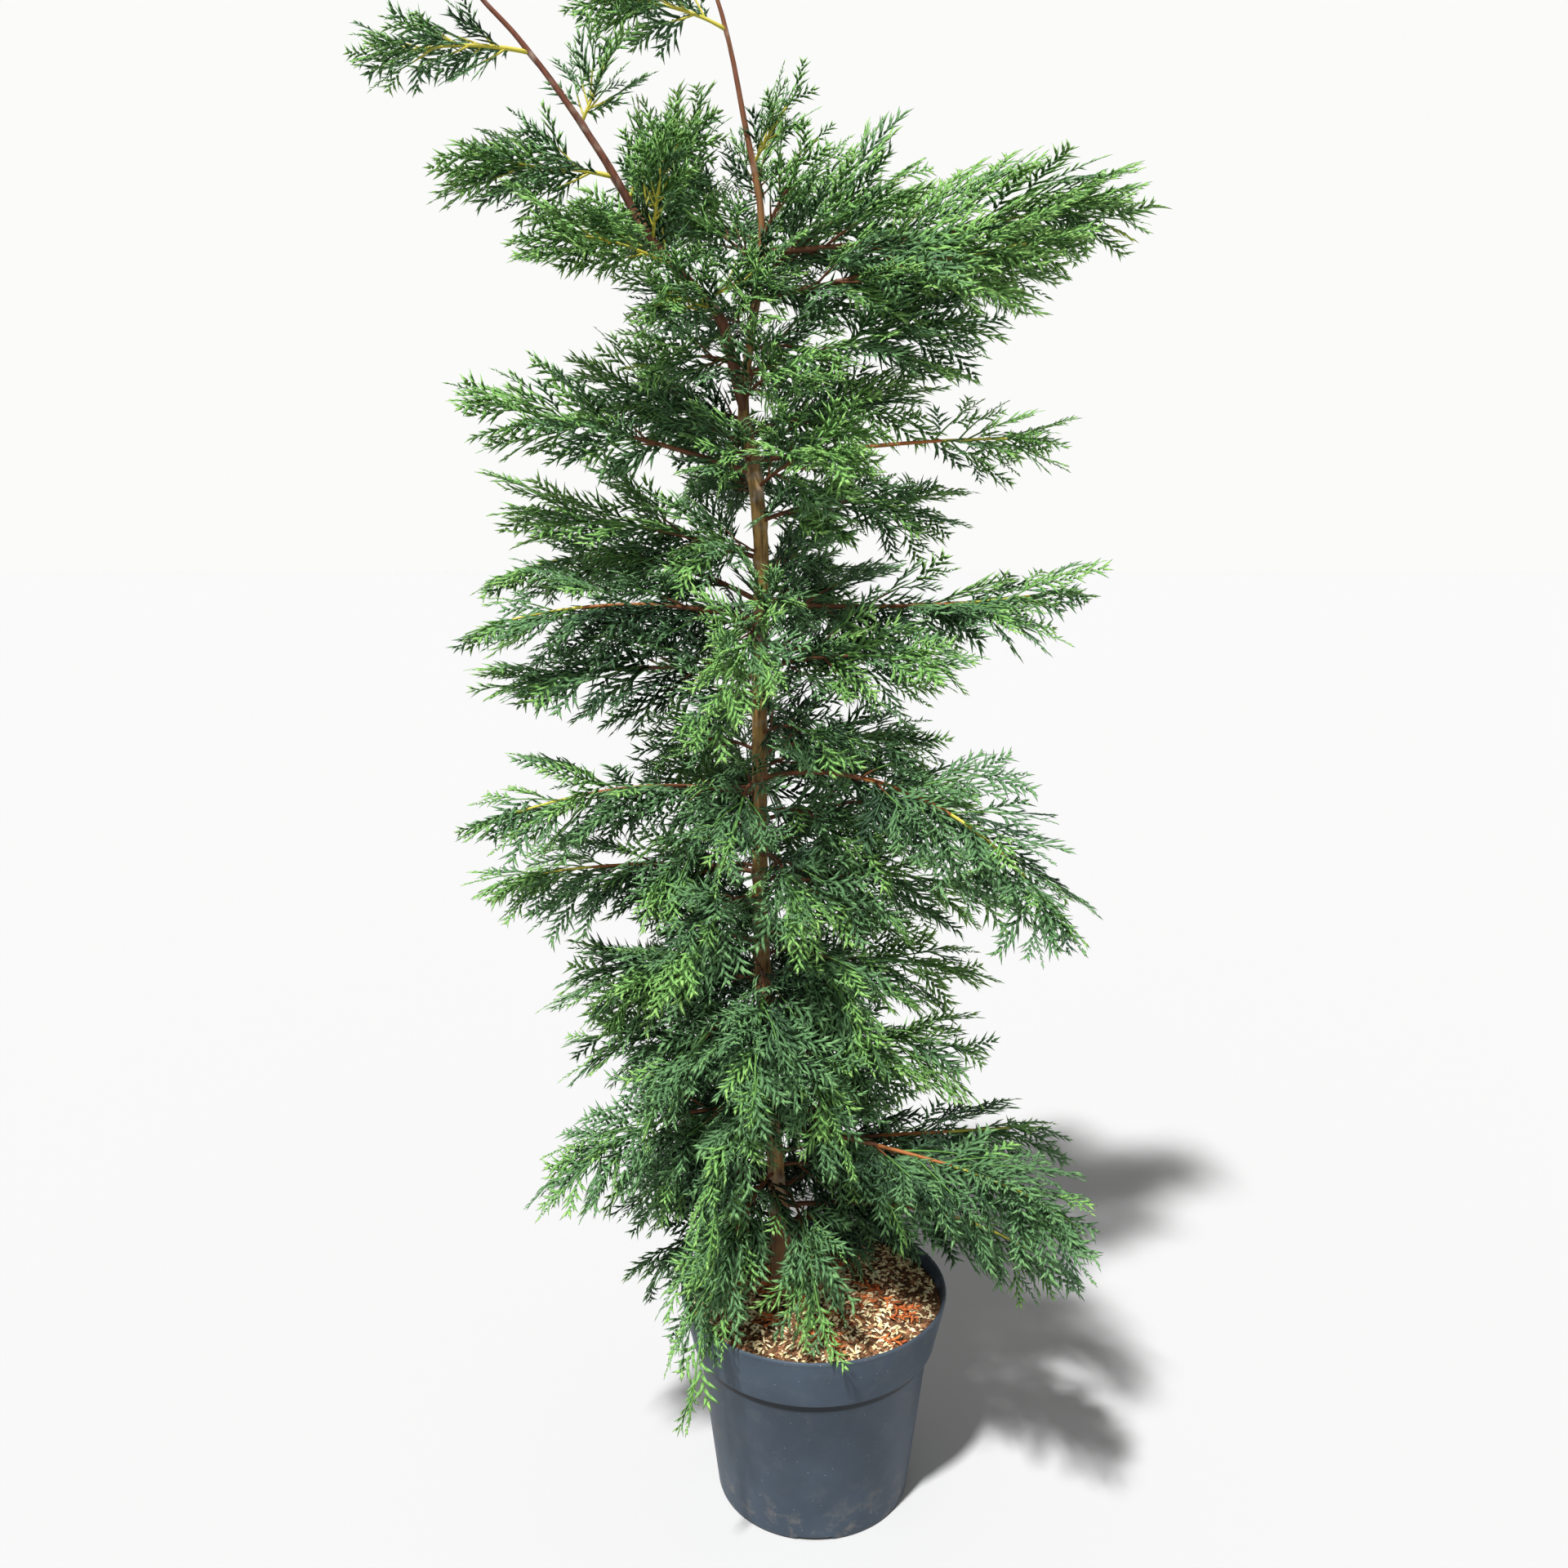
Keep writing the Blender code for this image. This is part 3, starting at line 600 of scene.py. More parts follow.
LONGEST_REACH = 0.49
BOUGH_FOOT_RADIUS = 0.0048
TWIG_TIP_RADIUS = 0.0010
THIN_SHARE = 0.45               # a bough's radius at its root without any reach, as a share of the longest's
SWAY = 0.030                    # how far a bough weaves to its side, as a share of its reach
SWAY_HALF_WAVES = 2.2           # along a bough
SWAY_PHASE = 40                 # for each metre of height, so that no two boughs weave alike
YOUNG_HEIGHT = 1.75             # above it the bark is still yellow
OPEN_SOUTH = (265, 315)         # azimuths where light has bared the inner part of the foot's boughs
OPEN_HEIGHT = 0.50
OPEN_SHARE = 0.30
SPRAY_ARC = (0.82, 1.0, 1.35)   # a side spray's length at the foot of the foliage, its gain and its fall
STEM_RINGS = 5
SQUARE_END = 0.004
GAP = 0.0003
SPRAYS_FEWEST = 4
SPRAYS_PER_METRE = 7.5
SPRAY_OPENING = (38, 52)        # a side spray's angle to its bough, in degrees
SPRAY_CLOSING = 16              # and how much less it is at the bough's tip
FINER_TURN = 158                # degrees from a spray to the finer one after it
FINER_SHARE = 0.82              # and that one's length


@dataclass(frozen=True)
class Bough:
    """One bough: where it leaves its carrier, how it runs, and how wide its foliage spreads."""

    name: str
    carrier: str
    height: float
    azimuth: float
    reach: float
    rise: float
    arch: float
    spread: float
    bare: float
    number: int = 0

    def point(self, share: float) -> Vector:
        """A point on its centre line, at a share of its reach."""
        angle = math.radians(self.azimuth)
        out = Vector((math.cos(angle), math.sin(angle), 0))
        side = Vector((-math.sin(angle), math.cos(angle), 0))
        turn = math.sin(SWAY_HALF_WAVES * math.pi * share + self.height * SWAY_PHASE)
        height = self.rise * share + self.arch * self.reach * 4 * share * (1 - share)
        root = CARRIERS[self.carrier].at(self.height)
        return root + out * self.reach * share + side * (SWAY * self.reach * share * turn) + UP * height

    def heading(self, share: float) -> Vector:
        """The way it heads at a share of its reach."""
        return (self.point(share + 0.01) - self.point(share - 0.01)).normalized()

    @property
    def young(self) -> bool:
        """Whether it grows from the top, where the bark is still yellow."""
        return self.carrier == "limb" or self.height > YOUNG_HEIGHT

    @property
    def leafless(self) -> float:
        """The share of it that has lost its leaves: the inner part of the low ones on the open south side."""
        opened = self.height < OPEN_HEIGHT and OPEN_SOUTH[0] < self.azimuth < OPEN_SOUTH[1]
        return OPEN_SHARE if opened else self.bare

    def radius(self, share: float) -> float:
        """It tapers evenly from its root, and a longer one is thicker."""
        foot = BOUGH_FOOT_RADIUS * (THIN_SHARE + (1 - THIN_SHARE) * self.reach / LONGEST_REACH)
        return foot + (TWIG_TIP_RADIUS - foot) * share

    def spray_length(self, share: float) -> float:
        """Side sprays are longest at two fifths of the foliage and short at its ends."""
        t = (share - self.bare) / (1 - self.bare)
        start, gain, fall = SPRAY_ARC
        return self.spread * (start + gain * t - fall * t * t)

    def stem_end(self) -> float:
        """The share of its reach where the stem inside its foliage ends."""
        tip_fan = 0.95 * self.spray_length(1.0) + 0.02
        return max(1 - 0.85 * tip_fan / self.reach, self.bare + 0.25 * (1 - self.bare))

    def stem_runs(self) -> list[Vector]:
        """The straight runs that the source draws the stem in its foliage with."""
        end = self.stem_end()
        step = (end - self.bare) / (STEM_RINGS - 1)
        points = [self.point(self.bare + step * k) for k in range(STEM_RINGS)]
        ahead = self.heading(self.bare)
        if self.bare or self.height >= CARRIERS[self.carrier].line[-1][0]:
            points[0] += ahead * GAP
        points.insert(1, points[0] + ahead * SQUARE_END)
        return points

    def spray_places(self, chance: random.Random) -> list[tuple[float, Vector, float]]:
        """Where its side sprays stand, by the source's rule.

        Args:
            chance: The bough's own run of random numbers.

        Returns:
            For each spray the share of the stem, the way it points and its length.
        """
        stem, end = self.stem_runs(), self.stem_end()
        count = round(SPRAYS_FEWEST + SPRAYS_PER_METRE * self.reach) - 1
        places, turn = [], chance.uniform(0, 360)
        for k in range(count):
            t = (k + 1.0) / (count + 0.7)
            i = min(int(t * (len(stem) - 1)), len(stem) - 2)
            ahead = (stem[i + 1] - stem[i]).normalized()
            level = ahead.cross(UP).normalized()
            upward = level.cross(ahead)
            around = math.radians(turn + GOLDEN_ANGLE * k)
            side = level * math.cos(around) + upward * math.sin(around)
            opened = math.radians(chance.uniform(*SPRAY_OPENING) - SPRAY_CLOSING * k / count)
            way = ahead * math.cos(opened) + side * math.sin(opened)
            share = self.bare + (end - self.bare) * t
            places.append((share, way, self.spray_length(share)))
        return places

    def between(self, places: list[tuple[float, Vector, float]]) -> list[tuple[float, Vector, float]]:
        """Finer sprays half-way between the source's own, turned away from them and shorter."""
        made = []
        for (share, way, length), (after, *_) in zip(places[:-1], places[1:]):
            ahead = self.heading(share)
            turned = Matrix.Rotation(math.radians(FINER_TURN), 3, ahead) @ way
            made.append(((share + after) / 2, turned, length * FINER_SHARE))
        return made


BOUGHS = tuple(Bough(*row, number) for number, row in enumerate((
    # round the leader
    ("leader_tip", "trunk", 2.050, 188, 0.045, 0.090, 0.00, 0.070, 0),
    ("leader_west", "trunk", 1.940, 184, 0.170, 0.020, 0.10, 0.100, 0),
    ("leader_east", "trunk", 1.790, 330, 0.070, 0.085, 0.05, 0.060, 0),
    # on the forked limb
    ("fork_tip", "limb", 2.010, 196, 0.080, 0.085, 0.00, 0.075, 0),
    ("fork_west_high", "limb", 1.895, 190, 0.200, -0.022, 0.06, 0.080, 0),
    ("fork_east_high", "limb", 1.822, 20, 0.055, 0.120, 0.00, 0.085, 0),
    ("fork_west_low", "limb", 1.765, 184, 0.190, -0.004, 0.06, 0.110, 0),
    ("fork_east_low", "limb", 1.720, 30, 0.090, 0.150, 0.02, 0.100, 0),
    ("fork_south", "limb", 1.665, 215, 0.190, 0.010, 0.08, 0.110, 0),
    # the wide plume to the east under the leader
    ("crown_east_high", "trunk", 1.690, 4, 0.475, 0.088, -0.03, 0.170, 0),
    ("crown_east_mid", "trunk", 1.635, 351, 0.400, 0.070, 0.00, 0.145, 0),
    ("crown_east_foot", "trunk", 1.545, 356, 0.270, 0.062, 0.03, 0.135, 0.34),
    ("crown_north_east", "trunk", 1.660, 38, 0.250, 0.165, 0.02, 0.145, 0),
    ("crown_north_west", "trunk", 1.700, 140, 0.190, 0.060, 0.05, 0.135, 0),
    # second tier
    ("mid_west_high", "trunk", 1.455, 166, 0.230, 0.095, 0.06, 0.120, 0),
    ("mid_west", "trunk", 1.425, 189, 0.360, 0.085, 0.02, 0.115, 0.24),
    ("mid_east", "trunk", 1.440, 3, 0.400, 0.030, 0.02, 0.085, 0.52),
    ("mid_north_east", "trunk", 1.455, 28, 0.270, 0.085, 0.05, 0.125, 0),
    ("mid_east_low", "trunk", 1.365, 22, 0.270, 0.000, 0.10, 0.120, 0),
    ("mid_south_east", "trunk", 1.405, 305, 0.190, 0.030, 0.10, 0.120, 0),
    ("mid_north", "trunk", 1.400, 105, 0.270, 0.040, 0.08, 0.140, 0),
    # third tier
    ("upper_west_high", "trunk", 1.318, 172, 0.340, 0.060, 0.04, 0.135, 0),
    ("upper_west_back", "trunk", 1.262, 160, 0.410, 0.020, 0.12, 0.125, 0),
    ("upper_west", "trunk", 1.238, 191, 0.385, -0.015, 0.08, 0.125, 0),
    ("upper_west_low", "trunk", 1.165, 186, 0.345, -0.012, 0.06, 0.130, 0),
    ("upper_east", "trunk", 1.262, 5, 0.432, 0.020, -0.03, 0.140, 0),
    ("upper_east_low", "trunk", 1.175, 338, 0.265, 0.005, 0.08, 0.120, 0),
    ("upper_south", "trunk", 1.215, 262, 0.215, -0.075, 0.22, 0.110, 0),
    ("upper_north", "trunk", 1.240, 72, 0.290, 0.035, 0.08, 0.140, 0),
    # fourth tier
    ("waist_west", "trunk", 1.010, 190, 0.385, -0.035, 0.08, 0.130, 0),
    ("waist_west_low", "trunk", 0.905, 173, 0.385, -0.035, 0.06, 0.135, 0),
    ("waist_east_high", "trunk", 1.065, 8, 0.240, 0.005, 0.08, 0.110, 0),
    ("waist_east", "trunk", 0.975, 8, 0.300, 0.012, 0.06, 0.125, 0),
    ("waist_droop", "trunk", 1.030, 320, 0.490, -0.140, 0.16, 0.135, 0.22),
    ("waist_east_low", "trunk", 0.880, 352, 0.330, -0.010, 0.10, 0.135, 0),
    ("waist_north", "trunk", 0.990, 98, 0.300, 0.020, 0.08, 0.140, 0),
    # fifth tier
    ("low_west", "trunk", 0.750, 176, 0.275, -0.005, 0.08, 0.135, 0),
    ("low_west_foot", "trunk", 0.640, 168, 0.270, 0.010, 0.06, 0.135, 0),
    ("low_east", "trunk", 0.760, 8, 0.290, -0.010, 0.08, 0.135, 0),
    ("low_east_foot", "trunk", 0.655, 352, 0.290, 0.010, 0.06, 0.135, 0),
    ("low_south", "trunk", 0.720, 268, 0.225, -0.060, 0.16, 0.125, 0),
    ("low_north", "trunk", 0.720, 88, 0.290, 0.000, 0.08, 0.145, 0),
    # round the foot, over the pot
    ("foot_west", "trunk", 0.560, 198, 0.330, -0.075, 0.14, 0.135, 0),
    ("foot_west_low", "trunk", 0.450, 158, 0.255, -0.040, 0.10, 0.125, 0),
    ("foot_south_west", "trunk", 0.470, 245, 0.270, -0.235, 0.30, 0.120, 0),
    ("foot_south", "trunk", 0.455, 290, 0.215, -0.150, 0.26, 0.115, 0),
    ("foot_plume", "trunk", 0.540, 331, 0.450, -0.040, 0.06, 0.155, 0.26),
    ("foot_east", "trunk", 0.500, 6, 0.410, 0.010, 0.04, 0.135, 0),
    ("foot_east_low", "trunk", 0.420, 355, 0.430, -0.090, 0.10, 0.130, 0),
    ("foot_north_east", "trunk", 0.440, 48, 0.330, -0.060, 0.10, 0.135, 0),
    ("foot_north", "trunk", 0.520, 118, 0.270, -0.020, 0.08, 0.140, 0),
)))


@dataclass(frozen=True)
class ShootRule:
    """The short shoots that clothe the trunk and the forks between the boughs, all round.

    They hang near the foot, where none grows on the open south side, and rise round the leader.
    """

    stretches: tuple[tuple[str, float, float], ...] = (("trunk", 0.385, 1.77), ("limb", 1.61, 1.76))
    first_azimuth: float = 262.0
    reach: tuple[float, float] = (0.11, 0.15)
    rise: tuple[float, float] = (-0.15, 0.25)       # as a share of the reach
    step: tuple[float, float] = (0.016, 0.024)      # from shoot to shoot
    arch: float = 0.10
    spread: float = 0.095
    hang_height: float = 1.30       # from here down they grow longer and hang
    hang_run: float = 0.5           # and this far down they do so fully
    rise_height: float = 1.60       # from here up they grow shorter and rise
    rise_run: float = 0.1
    thin: tuple[float, float] = (1.10, 1.46)        # the heights where the crown is more open
    open_south: tuple[float, float] = (250, 325)    # azimuths where none grows at the foot
    open_height: float = 0.52
    first_number: int = 100

    def grow(self) -> tuple[Bough, ...]:
        """The shoots, by one seeded rule."""
        chance, made = random.Random(SEED + 900), []
        azimuth = self.first_azimuth
        for carrier, height, end in self.stretches:
            while height < end:
                low = max(0.0, min(1.0, (self.hang_height - height) / self.hang_run))
                high = max(0.0, min(1.0, (height - self.rise_height) / self.rise_run))
                thin = self.thin[0] < height < self.thin[1]
                reach = (chance.uniform(*self.reach) + 0.08 * low) * (0.8 if thin else 1.0 - 0.25 * high)
                rise = reach * (chance.uniform(*self.rise) - 0.75 * low + 0.9 * high)
                azimuth = (azimuth + GOLDEN_ANGLE) % 360
                if height > self.open_height or not self.open_south[0] < azimuth < self.open_south[1]:
                    made.append(Bough(
                        f"shoot_{len(made)}", carrier, height, azimuth, reach, rise, self.arch + 0.16 * low,
                        self.spread + 0.020 * low - 0.015 * high, 0.0, self.first_number + len(made)))
                height += chance.uniform(*self.step) * (1.8 if thin else 1.0 + 1.4 * high)
        return tuple(made)


SHOOTS = ShootRule().grow()


# ------------------------------------------------------------------ pot and compost
@dataclass
class NurseryPot:
    """A round moulded pot with a deep collar, a rolled rim and notches round its foot."""

    height: float = 0.303
    rim_radius: float = 0.188
    collar_height: float = 0.074
    collar_foot_radius: float = 0.1725
    wall_top_radius: float = 0.1640
    wall_foot_radius: float = 0.1360
    wall: float = 0.0028
    floor: float = 0.004
    lip: float = 0.0045
    notches: int = 4
    notch_width: float = 0.050
    notch_height: float = 0.006
    notch_depth: float = 0.013
    steps: int = 144
    finish: PotPlastic = field(default_factory=PotPlastic)

    def profile(self) -> list[tuple[float, float]]:
        """Its wall's outline as radius and height, from the floor inside, over the rim, to under the foot."""
        step = self.height - self.collar_height
        inner_foot = self.wall_foot_radius - self.wall
        inner_rim = self.rim_radius - self.lip
        rim, top = self.rim_radius, self.height
        return [
            (inner_foot - 0.006, self.floor), (inner_foot - 0.001, self.floor + 0.0015),
            (inner_foot, self.floor + 0.005), (self.wall_top_radius - self.wall, step - 0.004),
            (self.collar_foot_radius - self.wall, step + 0.003), (inner_rim - 0.0003, top - 0.008),
            (inner_rim, top - 0.003), (inner_rim + 0.0006, top - 0.0010), (inner_rim + 0.0016, top - 0.0001),
            (rim - 0.0015, top), (rim - 0.0005, top - 0.0007), (rim, top - 0.0022), (rim, top - 0.0046),
            (rim - 0.0006, top - 0.0058), (rim - 0.0008, top - 0.0080),
            (self.collar_foot_radius + 0.0002, step + 0.0040), (self.collar_foot_radius, step + 0.0016),
            (self.collar_foot_radius - 0.0006, step + 0.0003), (self.collar_foot_radius - 0.0022, step),
            (self.wall_top_radius + 0.0010, step - 0.0002), (self.wall_top_radius, step - 0.0014),
            (self.wall_foot_radius + 0.0016, 0.0100), (self.wall_foot_radius + 0.0009, 0.0050),
            (self.wall_foot_radius - 0.0002, 0.0018), (self.wall_foot_radius - 0.0020, 0.0003),
            (self.wall_foot_radius - 0.0040, 0.0),
        ]

    def shell(self) -> bpy.types.Mesh:
        """The turned wall and floor, closed at both poles."""
        rows = np.array(self.profile())
        turn = np.arange(self.steps) / self.steps * math.tau
        corners = np.stack([rows[:, None, 0] * np.cos(turn), rows[:, None, 0] * np.sin(turn),
                            np.repeat(rows[:, 1:], self.steps, axis=1)], axis=2).reshape(-1, 3)
        poles = np.array([(0, 0, self.floor), (0, 0, 0)])
        shape = Shape()
        shape.add(np.concatenate([corners, poles]), tube_faces(len(rows), self.steps))
        mesh = shape.mesh("pot", [])
        body = bmesh.new()
        body.from_mesh(mesh)
        bmesh.ops.recalc_face_normals(body, faces=body.faces)
        body.to_mesh(mesh)
        body.free()
        return mesh

    def cutters(self) -> bpy.types.Object:
        """One mesh of all the blocks that cut the drain notches."""
        body = bmesh.new()
        for k in range(self.notches):
            angle = math.radians(-90 + 360 * k / self.notches)
            place = Matrix.Rotation(angle, 4, "Z") @ Matrix.Translation((self.wall_foot_radius, 0, 0))
            size = Matrix.Diagonal((2 * self.notch_depth, self.notch_width, 2 * self.notch_height, 1))
            bmesh.ops.create_cube(body, size=1, matrix=place @ size)
        bmesh.ops.bevel(body, geom=list(body.edges), offset=0.0015, segments=2, affect="EDGES")
        mesh = bpy.data.meshes.new("notches")
        body.to_mesh(mesh)
        body.free()
        blocks = bpy.data.objects.new("notches", mesh)
        bpy.context.scene.collection.objects.link(blocks)
        return blocks

    def build(self) -> None:
        """Turns the shell, cuts the notches and shows the pot."""
        raw = bpy.data.objects.new("pot_raw", self.shell())
        bpy.context.scene.collection.objects.link(raw)
        blocks = self.cutters()
        cut = raw.modifiers.new("notches", "BOOLEAN")
        cut.operation, cut.solver, cut.object = "DIFFERENCE", "EXACT", blocks
        bpy.context.view_layer.update()
        graph = bpy.context.evaluated_depsgraph_get()
        mesh = bpy.data.meshes.new_from_object(raw.evaluated_get(graph), depsgraph=graph)
        for used in (raw, blocks):
            bpy.data.objects.remove(used)
        mesh.materials.clear()
        mesh.materials.append(self.finish.material())
        mesh.shade_smooth()
        mesh.set_sharp_from_angle(angle=math.radians(38))
        show(mesh, "nursery_pot", "pot_plastic", "pot")


@dataclass(frozen=True)
class Strewing:
    """How one kind of litter lies on the compost."""

    name: str
    finish: Litter
    per_area: float                 # pieces for each square metre
    sizes: tuple[float, float]      # against the shapes it is dealt from
    tilt: float                     # from level, in radians
    lift: float                     # above the ground
    reach: float                    # from the pot's middle


@dataclass
class Compost:
    """Potting compost on the root ball, with bark chips, pale husks and shed sprays on it."""

    top: float = 0.290
    edge: float = 0.283
    flat_radius: float = 0.100
    edge_radius: float = 0.1805
    foot_radius: float = 0.1600
    depth: float = 0.060
    rings: int = 58
    steps: int = 180
    lump: float = 0.0034
    calm_edge: float = 0.012        # the ring by the wall where the lumps grow flat
    sunk: float = 0.0015            # under the solid's own surface
    soil: Litter = Litter("peat_compost", "#76563C", "#3A271A", 3.0, 0.8)
    litter: tuple[Strewing, ...] = (
        Strewing("bark_chips", Litter("pine_bark_chip", "#A87A58", "#63422E", 2.0),
                 14000.0, (0.6, 1.6), 0.5, 0.0008, 0.174),
        Strewing("husks", Litter("dry_husk", "#F2E8C4", "#CDB880", 3.0, 0.3),
                 16000.0, (0.8, 1.7), 0.5, 0.0020, 0.174),
        Strewing("shed_sprays", Litter("shed_dry_spray", "#DB8248", "#A8522E", 6.0, 0.3),
                 700.0, (0.7, 1.1), 0.16, 0.0042, 0.134),
    )

    def height(self, radius: np.ndarray, turn: np.ndarray) -> np.ndarray:
        """How high the compost lies: flat in the middle, lower to the wall, lumpy all over."""
        fall = np.clip((radius - self.flat_radius) / (self.edge_radius - self.flat_radius), 0, 1)
        x, y = radius * np.cos(turn), radius * np.sin(turn)
        clods = wave(x * 38 + y * 11, 3) * wave(y * 34 - x * 9, 4)
        lumps = clods + 0.6 * wave(x * 95 + y * 40, 5) * wave(y * 88, 6)
        calm = np.clip((self.edge_radius - radius) / self.calm_edge, 0.25, 1)
        return self.top + (self.edge - self.top) * fall**1.4 + self.lump * lumps * calm - self.sunk

    def ground(self) -> bpy.types.Mesh:
        """The lumpy surface, with a skirt down inside the wall and a closed underside."""
        radii = np.linspace(0.0, self.edge_radius, self.rings + 1)[1:]
        turn = np.arange(self.steps) / self.steps * math.tau
        grid, angle = np.meshgrid(radii, turn, indexing="ij")
        surface = np.stack([grid * np.cos(angle), grid * np.sin(angle), self.height(grid, angle)], axis=2)
        skirt = surface[-1:].copy()
        skirt[..., :2] *= self.foot_radius / self.edge_radius
        skirt[..., 2] = self.edge - self.depth
        top = float(self.height(np.zeros(1), np.zeros(1))[0])
        middle = np.array([(0, 0, top), (0, 0, self.edge - self.depth)])
        shape = Shape()
        rows = np.concatenate([surface, skirt]).reshape(-1, 3)
        shape.add(np.concatenate([rows, middle]), tube_faces(self.rings + 1, self.steps))
        mesh = shape.mesh("compost", [self.soil.material()])
        mesh.flip_normals()
        return mesh

    def spread_tree(self) -> bpy.types.NodeTree:
        """The tree that strews small shapes over a surface."""
        tree = bpy.data.node_groups.new("strew_litter", "GeometryNodeTree")
        given = sockets(tree, Litter="NodeSocketCollection", Per_Area="NodeSocketFloat", Seed="NodeSocketInt",
                        Smallest="NodeSocketFloat", Largest="NodeSocketFloat", Tilt="NodeSocketFloat",
                        Lift="NodeSocketFloat", Reach="NodeSocketFloat",
                        Material="NodeSocketMaterial").outputs
        up = add(tree, "GeometryNodeInputNormal")
        level = add(tree, "ShaderNodeSeparateXYZ", {0: up.outputs[0]})
        facing = add(tree, "FunctionNodeCompare", {0: level.outputs["Z"], 1: 0.5}, operation="GREATER_THAN")
        place = add(tree, "GeometryNodeInputPosition")
        flat = add(tree, "ShaderNodeVectorMath", {0: place.outputs[0], 1: (1, 1, 0)}, operation="MULTIPLY")
        out = add(tree, "ShaderNodeVectorMath", {0: flat.outputs[0]}, operation="LENGTH")
        near = add(tree, "FunctionNodeCompare", {
            0: out.outputs["Value"], 1: given["Reach"]}, operation="LESS_THAN")
        bare = add(tree, "FunctionNodeBooleanMath", {
            0: facing.outputs[0], 1: near.outputs[0]}, operation="AND")
        drop = add(tree, "GeometryNodeDistributePointsOnFaces", {
            "Mesh": given["Geometry"], "Selection": bare.outputs[0],
            "Density": given["Per Area"], "Seed": given["Seed"]})
        less = add(tree, "ShaderNodeMath", {0: given["Tilt"], 1: -1.0}, operation="MULTIPLY")
        low = add(tree, "ShaderNodeCombineXYZ", {0: less.outputs[0], 1: less.outputs[0], 2: 0.0})
        high = add(tree, "ShaderNodeCombineXYZ", {0: given["Tilt"], 1: given["Tilt"], 2: math.tau})
        turn = add(tree, "FunctionNodeRandomValue", {
            0: low.outputs[0], 1: high.outputs[0], "Seed": given["Seed"]}, data_type="FLOAT_VECTOR")
        size = add(tree, "FunctionNodeRandomValue", {
            2: given["Smallest"], 3: given["Largest"], "Seed": given["Seed"]}, data_type="FLOAT")
        shapes = add(tree, "GeometryNodeCollectionInfo", {
            "Collection": given["Litter"], "Separate Children": True, "Reset Children": True})
        strewn = add(tree, "GeometryNodeInstanceOnPoints", {
            "Points": drop.outputs["Points"], "Instance": shapes.outputs[0], "Pick Instance": True,
            "Rotation": turn.outputs[0], "Scale": size.outputs[1]})
        lift = add(tree, "ShaderNodeCombineXYZ", {2: given["Lift"]})
        raised = add(tree, "GeometryNodeTranslateInstances", {
            "Instances": strewn.outputs[0], "Translation": lift.outputs[0], "Local Space": False})
        real = add(tree, "GeometryNodeRealizeInstances", {"Geometry": raised.outputs[0]})
        done = add(tree, "GeometryNodeSetMaterial", {
            "Geometry": real.outputs[0], "Material": given["Material"]})
        add(tree, "NodeGroupOutput", {0: done.outputs[0]})
        return tree

    @staticmethod
    def flake(name: str, outline: list[tuple[float, float]], thick: float, cup: float) -> bpy.types.Mesh:
        """A closed flake: an outline with a raised or sunk middle on each side.

        Args:
            name: The mesh's name.
            outline: Its edge, anticlockwise from above.
            thick: Its thickness at the middle.
            cup: How far its middle is sunk below its edge.

        Returns:
            The mesh.
        """
        edge = np.array([(x, y, 0.0) for x, y in outline])
        middle = edge.mean(axis=0)
        last = len(edge)
        corners = np.concatenate([edge, [middle + (0, 0, thick - cup)], [middle - (0, 0, cup)]])
        faces = []
        for k in range(last):
            n = (k + 1) % last
            faces += [(k, n, last), (n, k, last + 1)]
        shape = Shape()
        shape.add(corners, faces)
        return shape.mesh(name, [], smooth=False)

    def chips(self, chance: random.Random) -> bpy.types.Collection:
        """Angular chips of bark, 6 to 14 mm long."""
        meshes = []
        for k in range(6):
            long, wide = chance.uniform(0.006, 0.013), chance.uniform(0.0035, 0.007)
            outline = []
            for i in range(6):
                a, far = i / 6 * math.tau, chance.uniform(0.75, 1.15)
                outline.append((math.cos(a) * long / 2 * far, math.sin(a) * wide / 2 * far))
            meshes.append(self.flake(f"chip_{k}", outline, 0.0026, 0.0009))
        return stock("bark_chips", meshes)

    def husks(self, chance: random.Random) -> bpy.types.Collection:
        """Thin curled husks, 5 to 10 mm long and pointed."""
        meshes = []
        for k in range(5):
            long, wide = chance.uniform(0.005, 0.0095), chance.uniform(0.0018, 0.0030)
            outline = [(-long / 2, 0), (-long * 0.1, -wide / 2), (long * 0.3, -wide * 0.4), (long / 2, 0),
                       (long * 0.25, wide * 0.45), (-long * 0.15, wide / 2)]
            meshes.append(self.flake(f"husk_{k}", outline, 0.0007, -0.0010))
        return stock("husks", meshes)

    @staticmethod
    def sprays() -> bpy.types.Collection:
        """Shed sprays, which are short fronds."""
        fronds = [Frond(0.050, SEED + 70 + k, 0.40).mesh([], dry=True) for k in range(3)]
        return stock("shed_sprays", fronds)

    def build(self) -> None:
        """Makes the ground and strews the litter over it."""
        ground = self.ground()
        tree, chance = self.spread_tree(), random.Random(SEED)
        shelves = (self.chips(chance), self.husks(chance), self.sprays())
        for k, (lie, shapes) in enumerate(zip(self.litter, shelves)):
            holder = bpy.data.objects.new(lie.name, ground.copy())
            bpy.context.scene.collection.objects.link(holder)
            smallest, largest = lie.sizes
            mesh = settle(holder, tree, {
                "Litter": shapes, "Per Area": lie.per_area, "Seed": SEED + k, "Smallest": smallest,
                "Largest": largest, "Tilt": lie.tilt, "Lift": lie.lift, "Reach": lie.reach,
                "Material": lie.finish.material()})
            show(mesh, lie.name, "compost")
        show(ground, "compost_ground", "compost", "compost")


